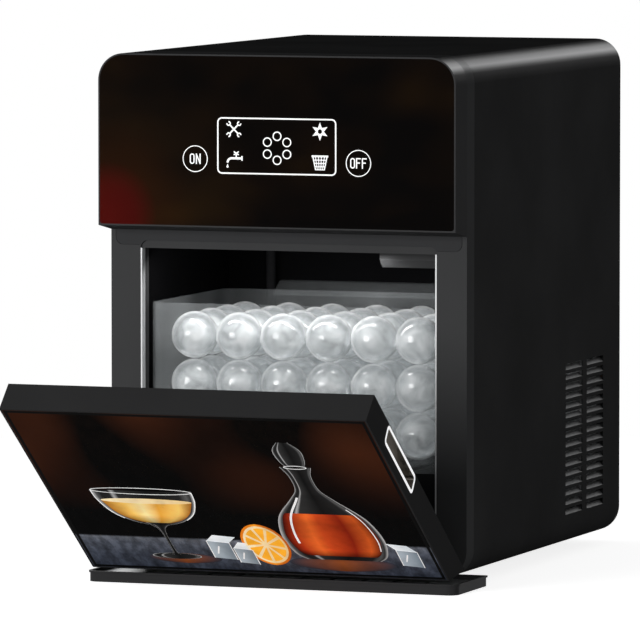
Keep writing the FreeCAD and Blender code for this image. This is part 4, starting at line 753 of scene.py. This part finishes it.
# Each cube of ice: left, width, foot and height of its face, and how far its top leans back
CUBES = ((-50, 24, 62, 34, 10), (-24, 20, 54, 29, 8), (154, 22, 60, 31, -8))
CUBE_SLANT = 3
CUBE_TOP = 12
CUBE_FACE = [(0, 1, 2, 3)]
CUBE_SHARES = bar(0, 1, 0, 1)
faces_layer = picture("ice_cube_faces", "ice_face", 4)
tops_layer = picture("ice_cube_tops", "ice_top", 4)
lines_layer = picture("bright_lines", "bright", 6)
for left, width, foot, tall, lean in CUBES:
    right, head = left + width, foot + tall
    right_foot, right_head = foot - CUBE_SLANT, head - CUBE_SLANT
    back_head = head + CUBE_TOP
    face = [(left, foot), (right, right_foot), (right, right_head), (left, head)]
    top = [(left, head), (right, right_head),
           (right + lean, back_head - CUBE_SLANT), (left + lean, back_head)]
    glint = [(left + width * 0.25, foot + tall * 0.25), (left + width * 0.45, foot + tall * 0.7)]
    faces_layer.put(face, CUBE_FACE, CUBE_SHARES)
    tops_layer.put(top, CUBE_FACE, CUBE_SHARES)
    lines_layer.stroke([(left, foot), (left, head), (right, right_head), (right, right_foot)], 1.0)
    lines_layer.stroke(glint, 1.6)

# Bright lines down the glasses, each at a share of the half width, and round the rim and the neck
for middle, rows, reach, width in (
        (COUPE_X, coupe_bowl[8:], 1, 1.1), (COUPE_X, coupe_bowl[8:], -1, 1.1),
        (DECANTER_X, decanter[10:26], -0.72, 2.4), (DECANTER_X, decanter[8:22], 0.86, 1.2)):
    lines_layer.stroke([(middle + half * reach, height) for height, half in rows], width)
for lip in (oval((COUPE_X, COUPE_RIM), 55, 6, 40), oval((DECANTER_X, 250), 12, 3, 24)):
    lines_layer.stroke(lip, 1.0, closed=True)
for layer in (faces_layer, tops_layer, lines_layer):
    layer.build("door")

# Black margin of the print
margin = picture("black_margin", "edge", 0)
margin.stroke(bar(*PRINT_EDGE), MARGIN, closed=True)
margin.build("door")


# Screws of the back panel, each with its cross recess drawn as black strokes, a painted shade

SCREW_PROFILE = ((3.6, 0.0), (3.5, 0.7), (2.9, 1.3), (1.9, 1.6))
SCREW_INSET = 16 * MM
SCREW_STEPS = 20
RECESS_REACH = 1.5
RECESS_WIDTH = 0.55
RECESS_TURNS = (20, 110)
SCREW_TURN = 13


def screw_head(name, across, height):
    points = []
    for radius, rise in SCREW_PROFILE:
        for x, z in ring((across, height), radius * MM, SCREW_STEPS):
            points.append((x, BACK_FACE + rise * MM, z))
    faces = [tuple(range(len(points) - SCREW_STEPS, len(points)))]
    for level in range(len(SCREW_PROFILE) - 1):
        for step in range(SCREW_STEPS):
            start, after = level * SCREW_STEPS + step, level * SCREW_STEPS + (step + 1) % SCREW_STEPS
            faces.append((start, after, after + SCREW_STEPS, start + SCREW_STEPS))
    faces = [tuple(reversed(face)) for face in faces]
    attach(mesh_object(name, points, faces, finishes["steel"]), "cabinet")


# Black strokes stand in for the shade inside each screw's cross recess
recess = InkLayer("screw_recess_shade_strokes", Vector((0, BACK_FACE + SCREW_PROFILE[-1][1] * MM, 0)), -ACROSS, UPRIGHT,
                  inks["edge"], INK_RISE * MM)
low, high = BACK_LOW.z + SCREW_INSET, BACK_HIGH.z - SCREW_INSET
middle = (BACK_LOW.z + BACK_HIGH.z) / 2
screw_places = [(side * (BACK_HIGH.x - SCREW_INSET), height)
                for side in (-1, 1) for height in (low, middle, high)]
screw_places.append((0.0, high))
for number, (across, height) in enumerate(screw_places):
    screw_head(f"back_screw_{number}", across, height)
    for turn in RECESS_TURNS:
        bar_path = shifted([(-RECESS_REACH, 0.0), (RECESS_REACH, 0.0)], (-across / MM, height / MM),
                           turn=turn + SCREW_TURN * number)
        recess.stroke(bar_path, RECESS_WIDTH)
recess.build("cabinet")


# Ice balls in the bin

BALL_PITCH = 49.5 * MM
BALL_RADIUS = 24.5 * MM
BALL_LEVELS = (152.5 * MM, 202.0 * MM, 251.5 * MM)
BALL_ROWS = 4
BALL_COLUMNS = 6
BALL_FIRST = Vector((-119.3 * MM, 45 * MM))
BALL_SWAY = 0.35 * MM
BALL_TILT = 0.5
SEAM_SWELL = 1.012
SEAM_LEVEL = 0.01


def ball_mesh():
    """Half balls joined at a fine parting seam, as a mould leaves them."""
    mesh = bpy.data.meshes.new("ice_ball")
    worked = bmesh.new()
    bmesh.ops.create_uvsphere(worked, u_segments=36, v_segments=24, radius=BALL_RADIUS)
    for vertex in worked.verts:
        if abs(vertex.co.z) / BALL_RADIUS < SEAM_LEVEL:
            vertex.co.x *= SEAM_SWELL
            vertex.co.y *= SEAM_SWELL
    worked.to_mesh(mesh)
    worked.free()
    for polygon in mesh.polygons:
        polygon.use_smooth = True
    mesh.materials.append(ice_finish)
    return mesh


shared_ball = ball_mesh()
for layer, level in enumerate(BALL_LEVELS):
    for line in range(BALL_ROWS):
        for column in range(BALL_COLUMNS):
            number = (layer * BALL_ROWS + line) * BALL_COLUMNS + column
            ball = bpy.data.objects.new(f"ice_ball_{number:02d}", shared_ball)
            bpy.context.scene.collection.objects.link(ball)
            sway = Vector((math.sin(number * 2.1), math.cos(number * 1.7))) * BALL_SWAY
            ball.location = (BALL_FIRST.x + column * BALL_PITCH + sway.x,
                             BALL_FIRST.y + line * BALL_PITCH + sway.y, level)
            ball.rotation_euler = (BALL_TILT * math.sin(number * 1.3), BALL_TILT * math.cos(number * 0.9),
                                   number * 0.7)
            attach(ball, "bin")


# Studio: floor, light and camera

FLOOR_MIDDLE = (0.0, 0.12)
FLOOR_REACH = 1.6
FLOOR_SIDES = 96
FLOOR_LEVEL = -0.0002
FLOOR_LIFT = 0.82
ROOM_LIGHT = 0.13

# Each lamp: its name, its place, where it points, its width and height, and its power in watts
LAMPS = (
    ("front_left_box", (-1.1, -3.0, 0.60), (0.0, 0.0, 0.30), (1.5, 1.5), 90),
    ("right_box", (2.6, -0.5, 0.55), (0.1, 0.2, 0.30), (1.4, 1.2), 10),
    ("left_box", (-2.6, 0.5, 0.55), (-0.1, 0.2, 0.30), (1.4, 1.2), 10),
    ("rear_box", (0.6, 3.2, 0.90), (0.0, 0.4, 0.30), (1.6, 1.2), 14),
    ("bin_lamp", (-0.02, 0.016, 0.332), (-0.02, 0.10, 0.20), (0.24, 0.012), 0.24),
)


def shown_by_ray(tree, cast, seen, output):
    """One shader casts its light on things, the other is what the camera, metal and glass see."""
    rays = add(tree, "ShaderNodeLightPath")
    sight = rays.outputs["Is Camera Ray"]
    for kind in ("Is Glossy Ray", "Is Transmission Ray"):
        either = add(tree, "ShaderNodeMath", operation="MAXIMUM")
        tree.links.new(sight, either.inputs[0])
        tree.links.new(rays.outputs[kind], either.inputs[1])
        sight = either.outputs["Value"]
    chosen = add(tree, "ShaderNodeMixShader")
    tree.links.new(sight, chosen.inputs["Fac"])
    tree.links.new(cast, chosen.inputs[1])
    tree.links.new(seen, chosen.inputs[2])
    tree.links.new(chosen.outputs["Shader"], tree.nodes[output].inputs["Surface"])


def studio_floor():
    """A pale floor that keeps the shadow and runs out to white."""
    material, tree, surface = new_material("floor")
    settle(surface, {"Base Color": (0.86, 0.86, 0.86, 1.0), "Roughness": 0.9, "Specular IOR Level": 0.0})
    lift = add(tree, "ShaderNodeEmission", Strength=FLOOR_LIFT)
    joined = add(tree, "ShaderNodeAddShader")
    tree.links.new(surface.outputs["BSDF"], joined.inputs[0])
    tree.links.new(lift.outputs["Emission"], joined.inputs[1])
    shown_by_ray(tree, surface.outputs["BSDF"], joined.outputs["Shader"], "Material Output")
    corners = [(x, y, FLOOR_LEVEL) for x, y in ring(FLOOR_MIDDLE, FLOOR_REACH, FLOOR_SIDES)]
    floor = mesh_object("studio_floor", corners, [tuple(range(FLOOR_SIDES))], material)


def studio_world():
    """White to the eye, to metal and to glass, and a soft grey light on everything else."""
    world = bpy.data.worlds.new("studio")
    bpy.context.scene.world = world
    world.use_nodes = True
    tree = world.node_tree
    backdrop = add(tree, "ShaderNodeBackground", Color=(1.0, 1.0, 1.0, 1.0), Strength=1.0)
    room = tree.nodes["Background"]
    settle(room, {"Color": (0.98, 0.99, 1.0, 1.0), "Strength": ROOM_LIGHT})
    shown_by_ray(tree, room.outputs["Background"], backdrop.outputs["Background"], "World Output")


def soft_light(name, place, aim, size, power):
    lamp = bpy.data.lights.new(name, "AREA")
    lamp.shape = "RECTANGLE"
    lamp.size, lamp.size_y = size
    lamp.energy = power
    item = bpy.data.objects.new(name, lamp)
    bpy.context.scene.collection.objects.link(item)
    item.location = place
    item.rotation_euler = (Vector(aim) - Vector(place)).to_track_quat("-Z", "Y").to_euler()


studio_floor()
studio_world()
for lamp_settings in LAMPS:
    soft_light(*lamp_settings)

camera_data = bpy.data.cameras.new("photo_camera")
camera_data.sensor_fit = "HORIZONTAL"
camera_data.lens = FOCAL_PIXELS / FRAME_PIXELS * camera_data.sensor_width
camera_data.clip_start = CAMERA_NEAR
camera_data.clip_end = CAMERA_FAR
camera = bpy.data.objects.new("photo_camera", camera_data)
bpy.context.scene.collection.objects.link(camera)
turn, rise = math.radians(CAMERA_TURN), math.radians(CAMERA_RISE)
towards_camera = Vector((math.sin(turn) * math.cos(rise), -math.cos(turn) * math.cos(rise), math.sin(rise)))
camera.location = CAMERA_TARGET + towards_camera * CAMERA_DISTANCE
camera.rotation_euler = towards_camera.to_track_quat("Z", "Y").to_euler()
bpy.context.scene.camera = camera
bpy.context.scene.view_settings.view_transform = "Standard"
